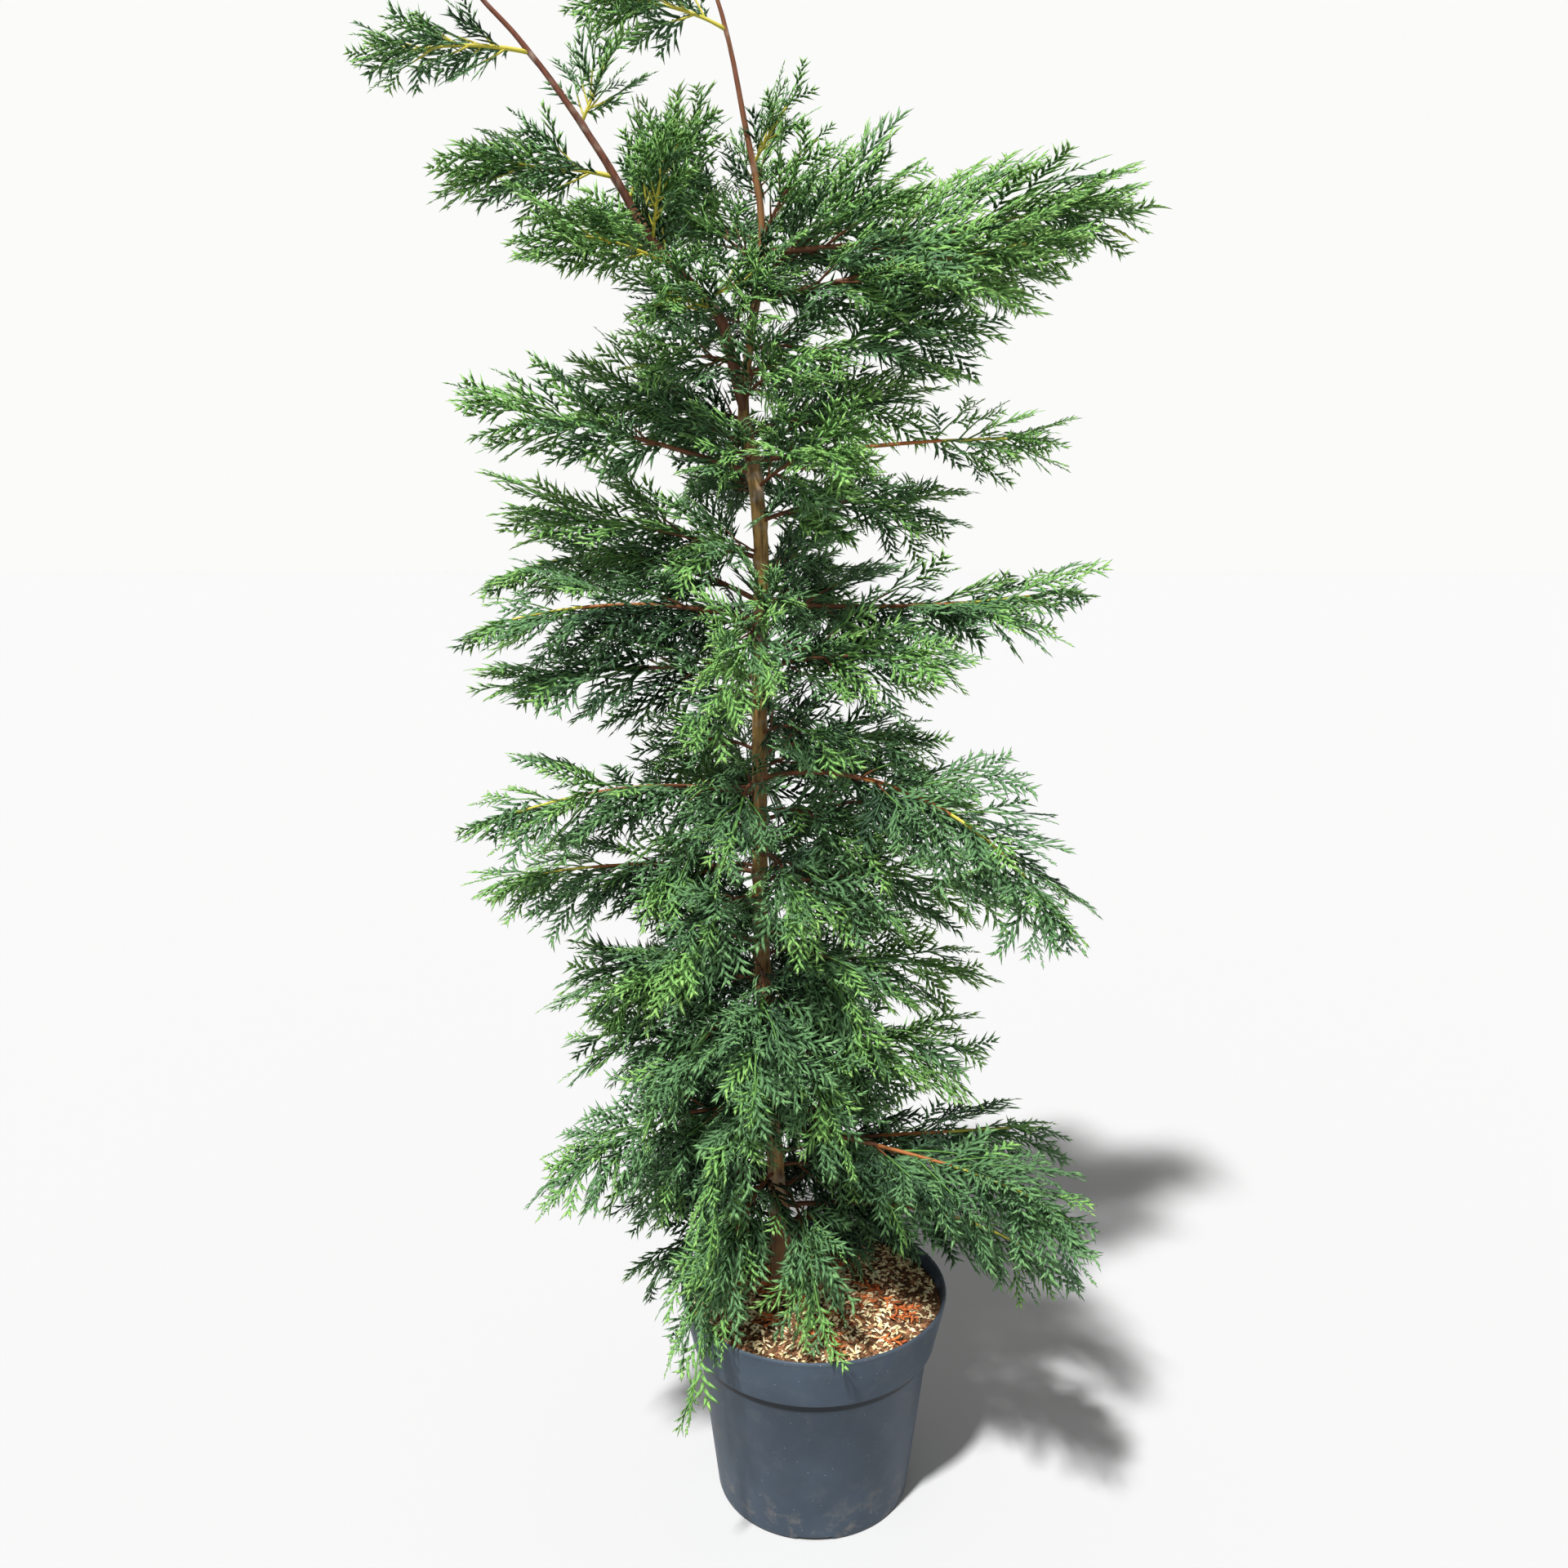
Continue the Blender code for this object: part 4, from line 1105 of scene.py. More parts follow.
# ------------------------------------------------------------------ trunk and limb
@dataclass
class BarkStem:
    """An upright stem with relief: fibres, rings, scars and a collar at each bough."""

    piece: str
    node: str
    carrier: str
    sides: int
    rings: int
    finish: BarkFinish
    seed: int
    slot: str
    fibre: float = 0.00030
    knob: float = 0.00050
    ring_swell: float = 0.0008
    ring_height: float = 0.0030
    collar_height: float = 0.0085
    collar_spread: float = 0.55
    collar_swell: float = 0.0024
    joint_drop: float = 0.006       # a ring lies this far under its bough
    bud_rings: int = 14             # more rings, anywhere along the stem
    scars: int = 34
    scar_depth: float = 0.0005
    crowding: float = 1.1           # over one, the rings of corners lie closer at the foot
    full_radius: float = 0.010      # the radius at which the relief has its full depth

    def radius(self, height: np.ndarray) -> np.ndarray:
        """Its true taper, which the two kinds of stem give."""
        raise NotImplementedError

    def relief(self, height: np.ndarray, turn: np.ndarray) -> np.ndarray:
        """Fibres that run up the stem and slow knobs, in metres."""
        around = turn / math.tau
        fibres = np.zeros_like(height)
        for k, count in enumerate((7, 11, 17)):
            drift = wave(height * 3.5, self.seed + k) * 0.06
            fibres += np.sin(math.tau * count * (around + drift)) * wave(height * 14, self.seed + 10 + k)
        knobs = wave(height * 22, self.seed + 20) * np.cos(turn + 5 * wave(height * 4, self.seed + 21))
        return self.fibre * fibres + self.knob * knobs

    def collars(self, height: np.ndarray, turn: np.ndarray) -> np.ndarray:
        """How strongly each corner lies in the swelling at a bough's root, from nought to one."""
        total = np.zeros_like(height)
        for row in BOUGHS:
            if row.carrier != self.carrier or row.height >= CARRIERS[self.carrier].line[-1][0]:
                continue
            away = (turn - math.radians(row.azimuth) + math.pi) % math.tau - math.pi
            above = (height - row.height) / self.collar_height
            total += np.exp(-above ** 2 - (away / self.collar_spread) ** 2)
        return np.clip(total, 0, 1)

    def ringed(self, height: np.ndarray, turn: np.ndarray, chance: np.random.Generator) -> np.ndarray:
        """How strongly each corner lies on a ring round the stem, from nought to one."""
        line = CARRIERS[self.carrier].line
        places = [row.height - self.joint_drop for row in BOUGHS if row.carrier == self.carrier]
        places += list(chance.uniform(line[0][0] + 0.05, line[-1][0] - 0.05, self.bud_rings))
        ring = np.zeros_like(height)
        for at in places:
            tilt = 0.003 * np.cos(turn + chance.uniform(0, math.tau))
            strength = chance.uniform(0.3, 0.9) * (0.55 + 0.45 * np.cos(turn + chance.uniform(0, math.tau)))
            ring = np.maximum(ring, strength * np.exp(-((height - at - tilt) / self.ring_height) ** 2))
        return ring

    def scarred(self, height: np.ndarray, turn: np.ndarray, chance: np.random.Generator) -> np.ndarray:
        """How deep each corner lies in a scar, from nought to one."""
        line = CARRIERS[self.carrier].line
        scar = np.zeros_like(height)
        for _ in range(self.scars):
            at, way = chance.uniform(line[0][0] + 0.02, line[-1][0] - 0.02), chance.uniform(0, math.tau)
            long, wide = chance.uniform(0.003, 0.009), chance.uniform(0.14, 0.34)
            away = (turn - way + math.pi) % math.tau - math.pi
            scar = np.maximum(scar, np.exp(-((height - at) / long) ** 2 - (away / wide) ** 2))
        return scar

    def build(self) -> None:
        """Makes the stem and shows it."""
        line = CARRIERS[self.carrier].line
        foot, tip = line[0][0], line[-1][0]
        heights = foot + (tip - foot) * (np.arange(self.rings) / (self.rings - 1)) ** self.crowding
        points = np.array([CARRIERS[self.carrier].at(h) for h in heights])
        height, turn = np.meshgrid(heights, np.arange(self.sides) / self.sides * math.tau, indexing="ij")
        chance = np.random.default_rng(self.seed)
        slender = np.clip(self.radius(height) / self.full_radius, 0.25, 1.2)
        collar = self.collars(height, turn)
        ring = self.ringed(height, turn, chance)
        scar = self.scarred(height, turn, chance)
        radii = self.radius(height) + slender * (
            self.relief(height, turn) + self.collar_swell * collar + self.ring_swell * ring
            - self.scar_depth * scar)
        shape = Shape()
        corners = tube_corners(points, radii, self.sides, Vector((1, 0, 0)))
        shape.add(corners, tube_faces(self.rings, self.sides))
        mesh = shape.mesh(self.piece, [self.finish.material()])
        for name, values in (("ring", np.maximum(ring * 0.75, collar * 0.45)), ("scar", scar * 0.8)):
            painted = mesh.attributes.new(name, "FLOAT", "POINT")
            painted.data.foreach_set("value", np.append(values.ravel(), (0.0, 0.0)))
        show(mesh, self.piece, self.slot, self.node)


@dataclass
class Trunk(BarkStem):
    """The trunk, from its flared foot in the compost to the leader's tip."""

    foot_radius: float = 0.0115
    loss: float = 0.0035
    tip_radius: float = 0.0018
    leader_share: float = 0.62
    flare: float = 0.0080
    flare_height: float = 0.055
    fork_loss: float = 0.0028
    fork_height: float = 1.500

    def radius(self, height: np.ndarray) -> np.ndarray:
        """A slow run, the root flare, a step at the fork and a fine leader."""
        foot, tip = TRUNK.line[0][0], TRUNK.line[-1][0]
        share = (height - foot) / (tip - foot)
        flare = self.flare * np.exp(-(height - foot) / self.flare_height)
        loss = self.fork_loss / (1 + np.exp(-(height - self.fork_height) / 0.02))
        slow = self.foot_radius - self.loss * share - loss
        leader = np.maximum(0.0, share - self.leader_share) / (1 - self.leader_share)
        return slow + flare - (slow - self.tip_radius) * leader**1.5


@dataclass
class ForkedLimb(BarkStem):
    """The limb that forks off under the crown and leans out to the west."""

    foot_radius: float = 0.0078
    tip_radius: float = 0.0020
    hidden: float = 0.08

    def radius(self, height: np.ndarray) -> np.ndarray:
        """An even taper, slim where it is hidden in the trunk."""
        foot, tip = LIMB.line[0][0], LIMB.line[-1][0]
        share = (height - foot) / (tip - foot)
        slim = 0.5 * np.maximum(0.0, 1 - share / self.hidden)
        return (self.foot_radius + (self.tip_radius - self.foot_radius) * share) * (1 - slim)


# ------------------------------------------------------------------ fronds
class Layer(Enum):
    """The parts of a frond, in the order of their finish numbers."""

    RACHIS = 0
    LEAF = 1
    TIP = 2


@dataclass
class Frond:
    """A flat feather of scale-leaf branchlets along one rib, lying along +X and facing +Z."""

    length: float
    seed: int
    longest_share: float = 0.44     # the longest branchlet, as a share of the frond
    spacing: float = 0.0148         # from branchlet to branchlet down one side
    root_angle: float = 36.0
    tip_angle: float = 19.0
    leaf_width: float = 0.0050      # of a strand at its root
    ridge: float = 0.45             # where along it its ridge is highest
    leaf_thick: float = 0.0015
    twiglet_spacing: float = 0.0096
    longest_twiglet: float = 0.030
    twiglet_opening: tuple[float, float] = (20, 29)     # its angle to its branchlet, in degrees
    first_twiglet: float = 0.14     # where along the branchlet the first one stands
    twiglet_run: float = 0.62       # and how far on they go
    rib_radius: float = 0.0009
    rib_end: float = 0.86           # where along the frond the strand at its tip is rooted

    def __post_init__(self) -> None:
        self.chance = random.Random(self.seed)
        self.shape = Shape()
        self.sway = self.chance.uniform(-0.06, 0.06)
        self.sag = self.chance.uniform(0.04, 0.16)

    def rib(self, x: float) -> np.ndarray:
        """The rib's point at a length along it: it sways a little and sags."""
        t = x / self.length
        aside, down = self.length * self.sway * t * t * (1.6 - t), -self.length * self.sag * t * t
        return np.array((x * (1 - 0.04 * t), aside, down))

    def strand(self, root: np.ndarray, way: np.ndarray, length: float, width: float, layer: Layer) -> None:
        """Adds a closed strand of scale leaves: a ridged flat finger, widest at its root, bent forward."""
        side = unit(np.array((-way[1], way[0], 0.0))) * width / 2
        tip = root + way * length + np.array((0.07, 0.0, -0.04)) * length
        ridge = root + way * length * self.ridge + np.array((0, 0, self.leaf_thick))
        corners = np.stack([root + side, root - side, tip, ridge])
        self.shape.add(corners, [(0, 2, 1), (0, 1, 3), (1, 2, 3), (2, 0, 3)], layer.value)

    def branchlet(self, x: float, side: int) -> None:
        """Adds one branchlet with its twiglets.

        Args:
            x: How far along the rib it stands.
            side: Which side it grows to, as one or minus one.
        """
        t = x / self.length
        full = self.length * self.longest_share
        grown = min(1.0, 0.60 + 1.6 * t) * (1 - 0.70 * t**1.4)
        length = full * grown * self.chance.uniform(0.82, 1.15)
        opened = self.root_angle + (self.tip_angle - self.root_angle) * t
        angle = math.radians(opened + self.chance.uniform(-4, 4))
        tilt = self.chance.uniform(-0.20, 0.20)
        way = unit(np.array((math.cos(angle), side * math.sin(angle), tilt)))
        root = self.rib(x)
        self.strand(root, way, length, self.leaf_width, Layer.TIP if t > 0.80 else Layer.LEAF)
        count = int(length * 0.72 / self.twiglet_spacing)
        for k in range(count):
            far = self.first_twiglet + self.twiglet_run * (k + 0.5) / count
            turn = math.radians(self.chance.uniform(*self.twiglet_opening))
            turn *= 1 if (k + (side > 0)) % 2 else -1
            twig_way = np.array((way[0] * math.cos(turn) - way[1] * math.sin(turn),
                                 way[0] * math.sin(turn) + way[1] * math.cos(turn),
                                 way[2] + self.chance.uniform(-0.15, 0.15)))
            twig = min(self.longest_twiglet, (1 - far) * length * 0.84 + 0.008)
            twig *= self.chance.uniform(*LENGTH_SPREAD)
            outer = Layer.TIP if far > 0.55 or t > 0.65 else Layer.LEAF
            self.strand(root + way * length * far, unit(twig_way), twig, self.leaf_width * 0.86, outer)

    def build(self) -> Shape:
        """Lays the rib and the branchlets down its two sides."""
        stops = np.array((0.0, 0.36, 0.72)) * self.length
        line = np.array([self.rib(x) for x in stops])
        radii = self.rib_radius * np.array((1.0, 0.8, 0.55)) * (self.length / 0.075) ** 0.5
        self.shape.add(tube_corners(line, radii, 3), tube_faces(3, 3), Layer.RACHIS.value)
        x, side = self.spacing * 0.5, self.chance.choice((-1, 1))
        while x < self.length * 0.93:
            self.branchlet(x, side)
            side = -side
            x += self.spacing / 2 * self.chance.uniform(*STEP_SPREAD)
        end = self.length * self.rib_end
        self.strand(self.rib(end), unit(self.rib(self.length) - self.rib(end)), self.length * 0.15,
                  self.leaf_width, Layer.TIP)
        return self.shape

    def mesh(self, materials: list[bpy.types.Material], dry: bool = False) -> bpy.types.Mesh:
        """The frond's mesh, with each face's layer as an attribute unless it is for dry litter."""
        shape = self.build()
        mesh = shape.mesh(f"frond_{self.seed}", materials)
        if not dry:
            layer = mesh.attributes.new("layer", "INT", "FACE")
            layer.data.foreach_set("value", shape.finishes)
        mesh.polygons.foreach_set("material_index", [0] * len(mesh.polygons))
        return mesh


@dataclass
class Placed:
    """One frond's place: where it is rooted, how it is turned, which kind it is and its tint."""

    root: Vector
    turn: Vector
    size: float
    kind: int
    tone: Tone


@dataclass(frozen=True)
class Tier:
    """A stretch of the crown whose foliage is one piece: boughs by name, shoots by height and side."""

    name: str
    boughs: tuple[str, ...]
    low: float
    high: float
    side: int = 0
    without: tuple[str, ...] = ()

    def rows(self) -> list[Bough]:
        """The boughs in it, which are given by the start of their names."""
        return [row for row in BOUGHS if row.name.startswith(self.boughs) and row.name not in self.without]

    def shoots(self) -> list[Bough]:
        """The short shoots in it."""
        return [row for row in SHOOTS if self.low <= row.height < self.high
                and (not self.side or (math.cos(math.radians(row.azimuth)) > 0) == (self.side > 0))]


@dataclass
class FrondDealer:
    """Deals fronds out to points, and gives the leaves and tips of each tint their material."""

    classes: tuple[tuple[float, float], ...]    # each class's length and longest branchlet
    variants: int                               # how many fronds there are of each class
    first_seed: int = SEED + 31

    def __post_init__(self) -> None:
        fronds = [Frond(length, self.first_seed + k * self.variants + i, share).mesh([])
                  for k, (length, share) in enumerate(self.classes) for i in range(self.variants)]
        self.tree = self.deal_tree()
        self.values: dict[str, Any] = {"Fronds": stock("fronds", fronds), "Size": 1.0}
        for wax in LEAF_WAXES:
            self.values[f"{wax.tone.name.title()} {'Tip' if wax.tip else 'Leaf'}"] = wax.material()
        self.values["Rib"] = self.values["Mid Leaf"]

    def deal_tree(self) -> bpy.types.NodeTree:
        """The tree that deals a frond out to each point, and gives each layer its material."""
        tree = bpy.data.node_groups.new("deal_fronds", "GeometryNodeTree")
        kinds = {"Fronds": "NodeSocketCollection", "Size": "NodeSocketFloat", "Rib": "NodeSocketMaterial"}
        tints = [(tone, layer) for tone in Tone for layer in (Layer.LEAF, Layer.TIP)]
        kinds |= {f"{tone.name.title()}_{layer.name.title()}": "NodeSocketMaterial" for tone, layer in tints}
        given = sockets(tree, **kinds).outputs
        size_of, turn_of, kind_of, tone_of, layer_of = (
            add(tree, "GeometryNodeInputNamedAttribute", {"Name": name}, data_type=kind).outputs["Attribute"]
            for name, kind in (("size", "FLOAT"), ("turn", "FLOAT_VECTOR"), ("kind", "INT"), ("tone", "INT"),
                               ("layer", "INT")))
        shelf = add(tree, "GeometryNodeCollectionInfo", {
            "Collection": given["Fronds"], "Separate Children": True, "Reset Children": True})
        size = add(tree, "ShaderNodeMath", {0: size_of, 1: given["Size"]}, operation="MULTIPLY")
        turn = add(tree, "FunctionNodeEulerToRotation", {0: turn_of})
        dealt = add(tree, "GeometryNodeInstanceOnPoints", {
            "Points": given["Geometry"], "Instance": shelf.outputs[0], "Pick Instance": True,
            "Instance Index": kind_of, "Rotation": turn.outputs[0], "Scale": size.outputs[0]})
        real = add(tree, "GeometryNodeRealizeInstances", {"Geometry": dealt.outputs[0]})
        done = add(tree, "GeometryNodeSetMaterial", {
            "Geometry": real.outputs[0], "Material": given["Rib"]}).outputs[0]
        for tone, layer in tints:
            of_tone, of_layer = (
                add(tree, "FunctionNodeCompare", {2: value, 3: wanted}, data_type="INT",
                    operation="EQUAL").outputs[0]
                for value, wanted in ((tone_of, tone.value), (layer_of, layer.value)))
            both = add(tree, "FunctionNodeBooleanMath", {0: of_tone, 1: of_layer}, operation="AND")
            done = add(tree, "GeometryNodeSetMaterial", {
                "Geometry": done, "Selection": both.outputs[0],
                "Material": given[f"{tone.name.title()} {layer.name.title()}"]}).outputs[0]
        add(tree, "NodeGroupOutput", {0: done})
        return tree

    def deal(self, name: str, placed: list[Placed]) -> bpy.types.Mesh:
        """Turns a list of placed fronds to one mesh.

        Args:
            name: The piece's name.
            placed: The fronds.

        Returns:
            The mesh.
        """
        points = bpy.data.meshes.new(name)
        points.from_pydata([tuple(p.root) for p in placed], [], [])
        for key, kind, slot, values in (
            ("size", "FLOAT", "value", [p.size for p in placed]),
            ("kind", "INT", "value", [p.kind for p in placed]),
            ("tone", "INT", "value", [p.tone.value for p in placed]),
            ("turn", "FLOAT_VECTOR", "vector", [c for p in placed for c in p.turn]),
        ):
            points.attributes.new(key, kind, "POINT").data.foreach_set(slot, values)
        holder = bpy.data.objects.new(name, points)
        bpy.context.scene.collection.objects.link(holder)
        mesh = settle(holder, self.tree, self.values)
        for key in ("size", "kind", "tone", "turn", "layer"):
            if key in mesh.attributes:
                mesh.attributes.remove(mesh.attributes[key])
        return mesh


@dataclass(frozen=True)
class Stance:
    """How fronds stand off a stem, with angles in degrees."""

    opened: tuple[float, float]     # from the stem
    closing: float                  # how much less that is at the stem's tip
    turned: float                   # about the frond's own axis, to either side
    droop: float                    # the share of the foliage's hang that a frond takes

    def pose(self, chance: random.Random, ahead: Vector, side: Vector, normal: Vector, t: float,
             hang: float) -> tuple[Vector, Vector]:
        """Turns a frond off its stem.

        Args:
            chance: The bough's own run of random numbers.
            ahead: The way the stem heads.
            side: The way off the stem.
            normal: The way it would face if it weren't turned.
            t: How far along the stem's foliage it stands, from nought to one.
            hang: How strongly foliage hangs there.

        Returns:
            The way it points and the way it faces.
        """
        angle = math.radians(chance.uniform(*self.opened) - self.closing * t)
        way = ahead * math.cos(angle) + side * math.sin(angle) - UP * hang * self.droop
        turned = Matrix.Rotation(
            math.radians(chance.uniform(-self.turned, self.turned)), 3, way.normalized())
        return way, turned @ normal


@dataclass
class Growth:
    """One bough as it grows: its own run of random numbers, its shift of tint, and where its parts go."""

    row: Bough
    chance: random.Random
    mood: float
    twigs: Shape
    placed: list[Placed]


@dataclass
class Foliage:
    """All the boughs' stems, their side sprays, and the fronds on both."""

    classes: tuple[tuple[float, float], ...] = ((0.058, 0.44), (0.084, 0.42), (0.116, 0.36), (0.100, 0.20))
    slender: int = 3                # the class for tips, with short branchlets
    variants: int = 4
    shortest: float = 0.030         # a frond that would be shorter is left out
    stem_step: float = 0.0175       # from frond to frond along a bough
    spray_step: float = 0.0210      # and along a side spray
    stem_girth: float = 0.85        # a stem in leaf, against the bare bough's rule
    stem_share: float = 0.70        # a side spray's woody length, as a share of its reach
    stem_bends: int = 7             # the runs that it is drawn in
    stem_sides: int = 8             # round a bough's stem
    spray_sides: int = 5            # and round a side spray's
    ring_step: float = 0.008        # from ring to ring along a bough's stem
    bark_lap: float = 0.006         # how far one tone of bark reaches into the last, as a share
    root_swell: float = 0.5         # where a bare bough's stem meets its foliage
    swell_run: float = 0.014
    knob: float = 0.09
    knobs_per_m: float = 90.0
    on_spray: Stance = Stance((32, 44), 10, 28, 0.45)
    on_bough: Stance = Stance((34, 48), 16, 30, 0.5)
    young_bark: tuple[tuple[float, Twig], ...] = ((0.66, Twig.YELLOW), (0.97, Twig.GREEN))
    short_bark: tuple[tuple[float, Twig], ...] = ((0.46, Twig.BROWN), (0.97, Twig.GREEN))
    long_bark: tuple[tuple[float, Twig], ...] = (
        (0.36, Twig.BROWN), (0.60, Twig.AMBER), (0.82, Twig.YELLOW), (0.97, Twig.GREEN))
    long_reach: float = 0.38        # a longer bough is open above, and its bark shows more tones
    crown_radius: float = 0.30
    hang_most: float = 0.36         # near the foot
    hang_least: float = -0.05       # high up, where foliage rises
    hang_loss: float = 0.30         # for each metre upwards
    hang_from: float = 0.40
    # the tint darkens inwards and downwards: partly older foliage, partly painted shade inside the crown and
    # painted light high up
    tone_start: float = 0.06
    tone_outwards: float = 0.70     # how much fresher the tint grows along a bough
    tone_upwards: float = 0.46      # and up the whole crown
    tone_heights: tuple[float, float] = (0.3, 1.8)      # the crown's foot and its height
    tone_steps: tuple[float, float, float] = (0.34, 0.72, 1.28)     # where one tint gives way to the next
    margin: float = 0.006           # past the solids' box
    pot_radius: float = 0.194
    pot_top: float = 0.306
    tiers: tuple[Tier, ...] = (
        Tier("top", ("leader", "fork"), 9.0, 9.0),
        Tier("crown", ("crown",), 1.51, 9.0),
        Tier("second_tier", ("mid",), 1.34, 1.51),
        Tier("third_tier_west", ("upper_west",), 1.10, 1.34, -1),
        Tier("third_tier_east", ("upper_east", "upper_south", "upper_north"), 1.10, 1.34, 1),
        Tier("fourth_tier_west", ("waist_west", "waist_north"), 0.84, 1.10, -1),
        Tier("fourth_tier_east", ("waist_east", "waist_droop"), 0.84, 1.10, 1),
        Tier("fifth_tier", ("low",), 0.60, 0.84),
        Tier("foot_west", ("foot_west", "foot_south_west", "foot_north"), 0.0, 0.60, -1,
             ("foot_north_east",)),
        Tier("foot_east", ("foot_south", "foot_plume", "foot_east", "foot_north_east"), 0.0, 0.60, 1,
             ("foot_south_west",)),
    )

    def __post_init__(self) -> None:
        self.low = Vector(CAD_BOX[0]) - Vector((self.margin,) * 3)
        self.high = Vector(CAD_BOX[1]) + Vector((self.margin,) * 3)

    def fits(self, point: Vector) -> bool:
        """Whether a point is inside the tree's box and clear of the pot."""
        inside = all(low <= c <= high for low, c, high in zip(self.low, point, self.high))
        return inside and not (point.z < self.pot_top and math.hypot(point.x, point.y) < self.pot_radius)

    def outness(self, point: Vector) -> float:
        """How far out of the crown's middle a point lies, from nought to one."""
        middle = TRUNK.at(min(point.z, TRUNK.line[-1][0]))
        return min(1.0, math.hypot(point.x - middle.x, point.y - middle.y) / self.crown_radius)

    def hang(self, point: Vector) -> float:
        """How strongly foliage hangs: most near the foot and the trunk, least high up and at the tips."""
        by_height = self.hang_most - self.hang_loss * (point.z - self.hang_from)
        return min(self.hang_most, max(self.hang_least, by_height)) * (1.7 - 1.1 * self.outness(point))

    def tone_of(self, share: float, height: float, growth: Growth) -> Tone:
        """A frond's tint: deep near the trunk and low down, fresher further out and higher up. This is partly
        the foliage's age and partly painted shade inside the crown and painted light towards its top.

        Args:
            share: How far out along its bough it is.
            height: Its height.
            growth: Its bough.

        Returns:
            The tint.
        """
        low, run = self.tone_heights
        # painted shade and light: the score, and with it the tint, rises outwards and upwards
        score = (self.tone_start + self.tone_outwards * share + self.tone_upwards * (height - low) / run
                 + growth.mood + growth.chance.gauss(0, 0.13))
        return Tone(sum(score >= step for step in self.tone_steps))

    def put(self, growth: Growth, root: Vector, way: Vector, normal: Vector, length: float, share: float,
            height: float, slender: bool = False) -> None:
        """Places one frond on a bough, if it fits.

        Args:
            growth: The bough.
            root: Where it is rooted.
            way: The way it points.
            normal: The way it faces.
            length: How long it is.
            share: How far out along its bough it counts as, for its tint.
            height: The height that its tint goes by.
            slender: Whether it is one of the narrow ones that end a shoot.
        """
        tone = self.tone_of(share, height, growth)
        way = way.normalized()
        while not (self.fits(root + way * length) and self.fits(root + way * length * 0.5)):
            length *= 0.8
            if length < self.shortest:
                return
        across = normal.cross(way)
        if across.length < 0.05:
            across = Vector((1, 0, 0)).cross(way)
        across.normalize()
        facing = way.cross(across)
        if facing.z < 0:
            across, facing = -across, -facing
        matrix = Matrix((way, across, facing)).transposed()
        nearest = min(range(self.slender), key=lambda k: abs(self.classes[k][0] - length))
        size_class = self.slender if slender else nearest
        kind = size_class * self.variants + growth.chance.randrange(self.variants)
        size = length / self.classes[size_class][0]
        growth.placed.append(Placed(root, Vector(matrix.to_euler()), size, kind, tone))

    def bough(self, row: Bough, twigs: Shape, placed: list[Placed]) -> None:
        """Grows one bough: its stem, side sprays and fronds.

        Args:
            row: The bough.
            twigs: Where its stems are added.
            placed: Where its fronds are added.
        """
        places = row.spray_places(random.Random(SEED + row.number))
        finer = row.between(places)
        places += finer + (row.between(finer) if row.young else [])
        chance = random.Random(SEED * 100 + row.number)
        growth = Growth(row, chance, chance.gauss(0, 0.10), twigs, placed)
        self.stem(row, twigs)
        for share, way, length in places:
            if share < row.leafless:
                continue
            roll = math.radians(chance.uniform(-1, 1) * (75 - 52 * self.outness(row.point(share))))
            points = self.curve(row, share, way, length)
            if all(self.fits(p) for p in points[1:]):
                self.woody(growth, share, points)
                self.clothe(growth, share, way, length, roll, points)
        self.direct_fronds(growth)

    def stem(self, row: Bough, twigs: Shape) -> None:
        """Adds a bough's stem, in runs whose bark changes towards its tip.

        Args:
            row: The bough.
            twigs: Where the stem is added.
        """
        grown = self.long_bark if row.reach > self.long_reach else self.short_bark
        ends = self.young_bark if row.young else grown
        start = 0.0
        for end, tone in ends:
            count = max(4, int((end - start) * row.reach / self.ring_step))
            shares = np.linspace(max(0.0, start - self.bark_lap), end, count)
            line = np.array([row.point(s) for s in shares])
            swell = 1 + self.root_swell * np.exp(-(shares * row.reach / self.swell_run) ** 2) * (row.bare > 0)
            knob = 1 + self.knob * wave(shares * row.reach * self.knobs_per_m, row.number)
            radii = np.array([row.radius(s) for s in shares]) * swell * knob * self.stem_girth
            corners = tube_corners(line, radii, self.stem_sides)
            twigs.add(corners, tube_faces(count, self.stem_sides), tone.value)
            start = end

    def curve(self, row: Bough, share: float, way: Vector, length: float) -> list[Vector]:
        """A side spray's centre line, which turns to its bough's heading and hangs.

        Args:
            row: Its bough.
            share: Where along the bough it is rooted.
            way: The way it points at its root.
            length: Its reach.

        Returns:
            The line's points, cut short where there is no room for it.
        """
        points, ahead, woody = [row.point(share)], row.heading(share), length * self.stem_share
        hang = self.hang(points[0])
        heading = (way - UP * hang * 0.5).normalized()
        for _ in range(self.stem_bends):
            heading = (heading + ahead * 0.05 - UP * hang * 0.10).normalized()
            points.append(points[-1] + heading * woody / self.stem_bends)
        if not self.fits(points[-1]):
            points = points[: max(3, sum(1 for p in points if self.fits(p)))]
        return points

    def woody(self, growth: Growth, share: float, points: list[Vector]) -> None:
        """Adds a side spray's twig, green in its outer half.

        Args:
            growth: The bough.
            share: Where along the bough it is rooted.
            points: Its centre line.
        """
        row, line, middle = growth.row, np.array(points), max(2, len(points) // 2)
        radii = np.linspace(row.radius(share) * 0.42 + 0.0004, 0.0007, len(points))
        first = Twig.YELLOW if row.young else Twig.BROWN if share < 0.40 else Twig.GREEN
        for run, tone in ((slice(0, middle + 1), first), (slice(middle - 1, None), Twig.GREEN)):
            growth.twigs.add(tube_corners(line[run], radii[run], self.spray_sides),
                             tube_faces(len(line[run]), self.spray_sides), tone.value)

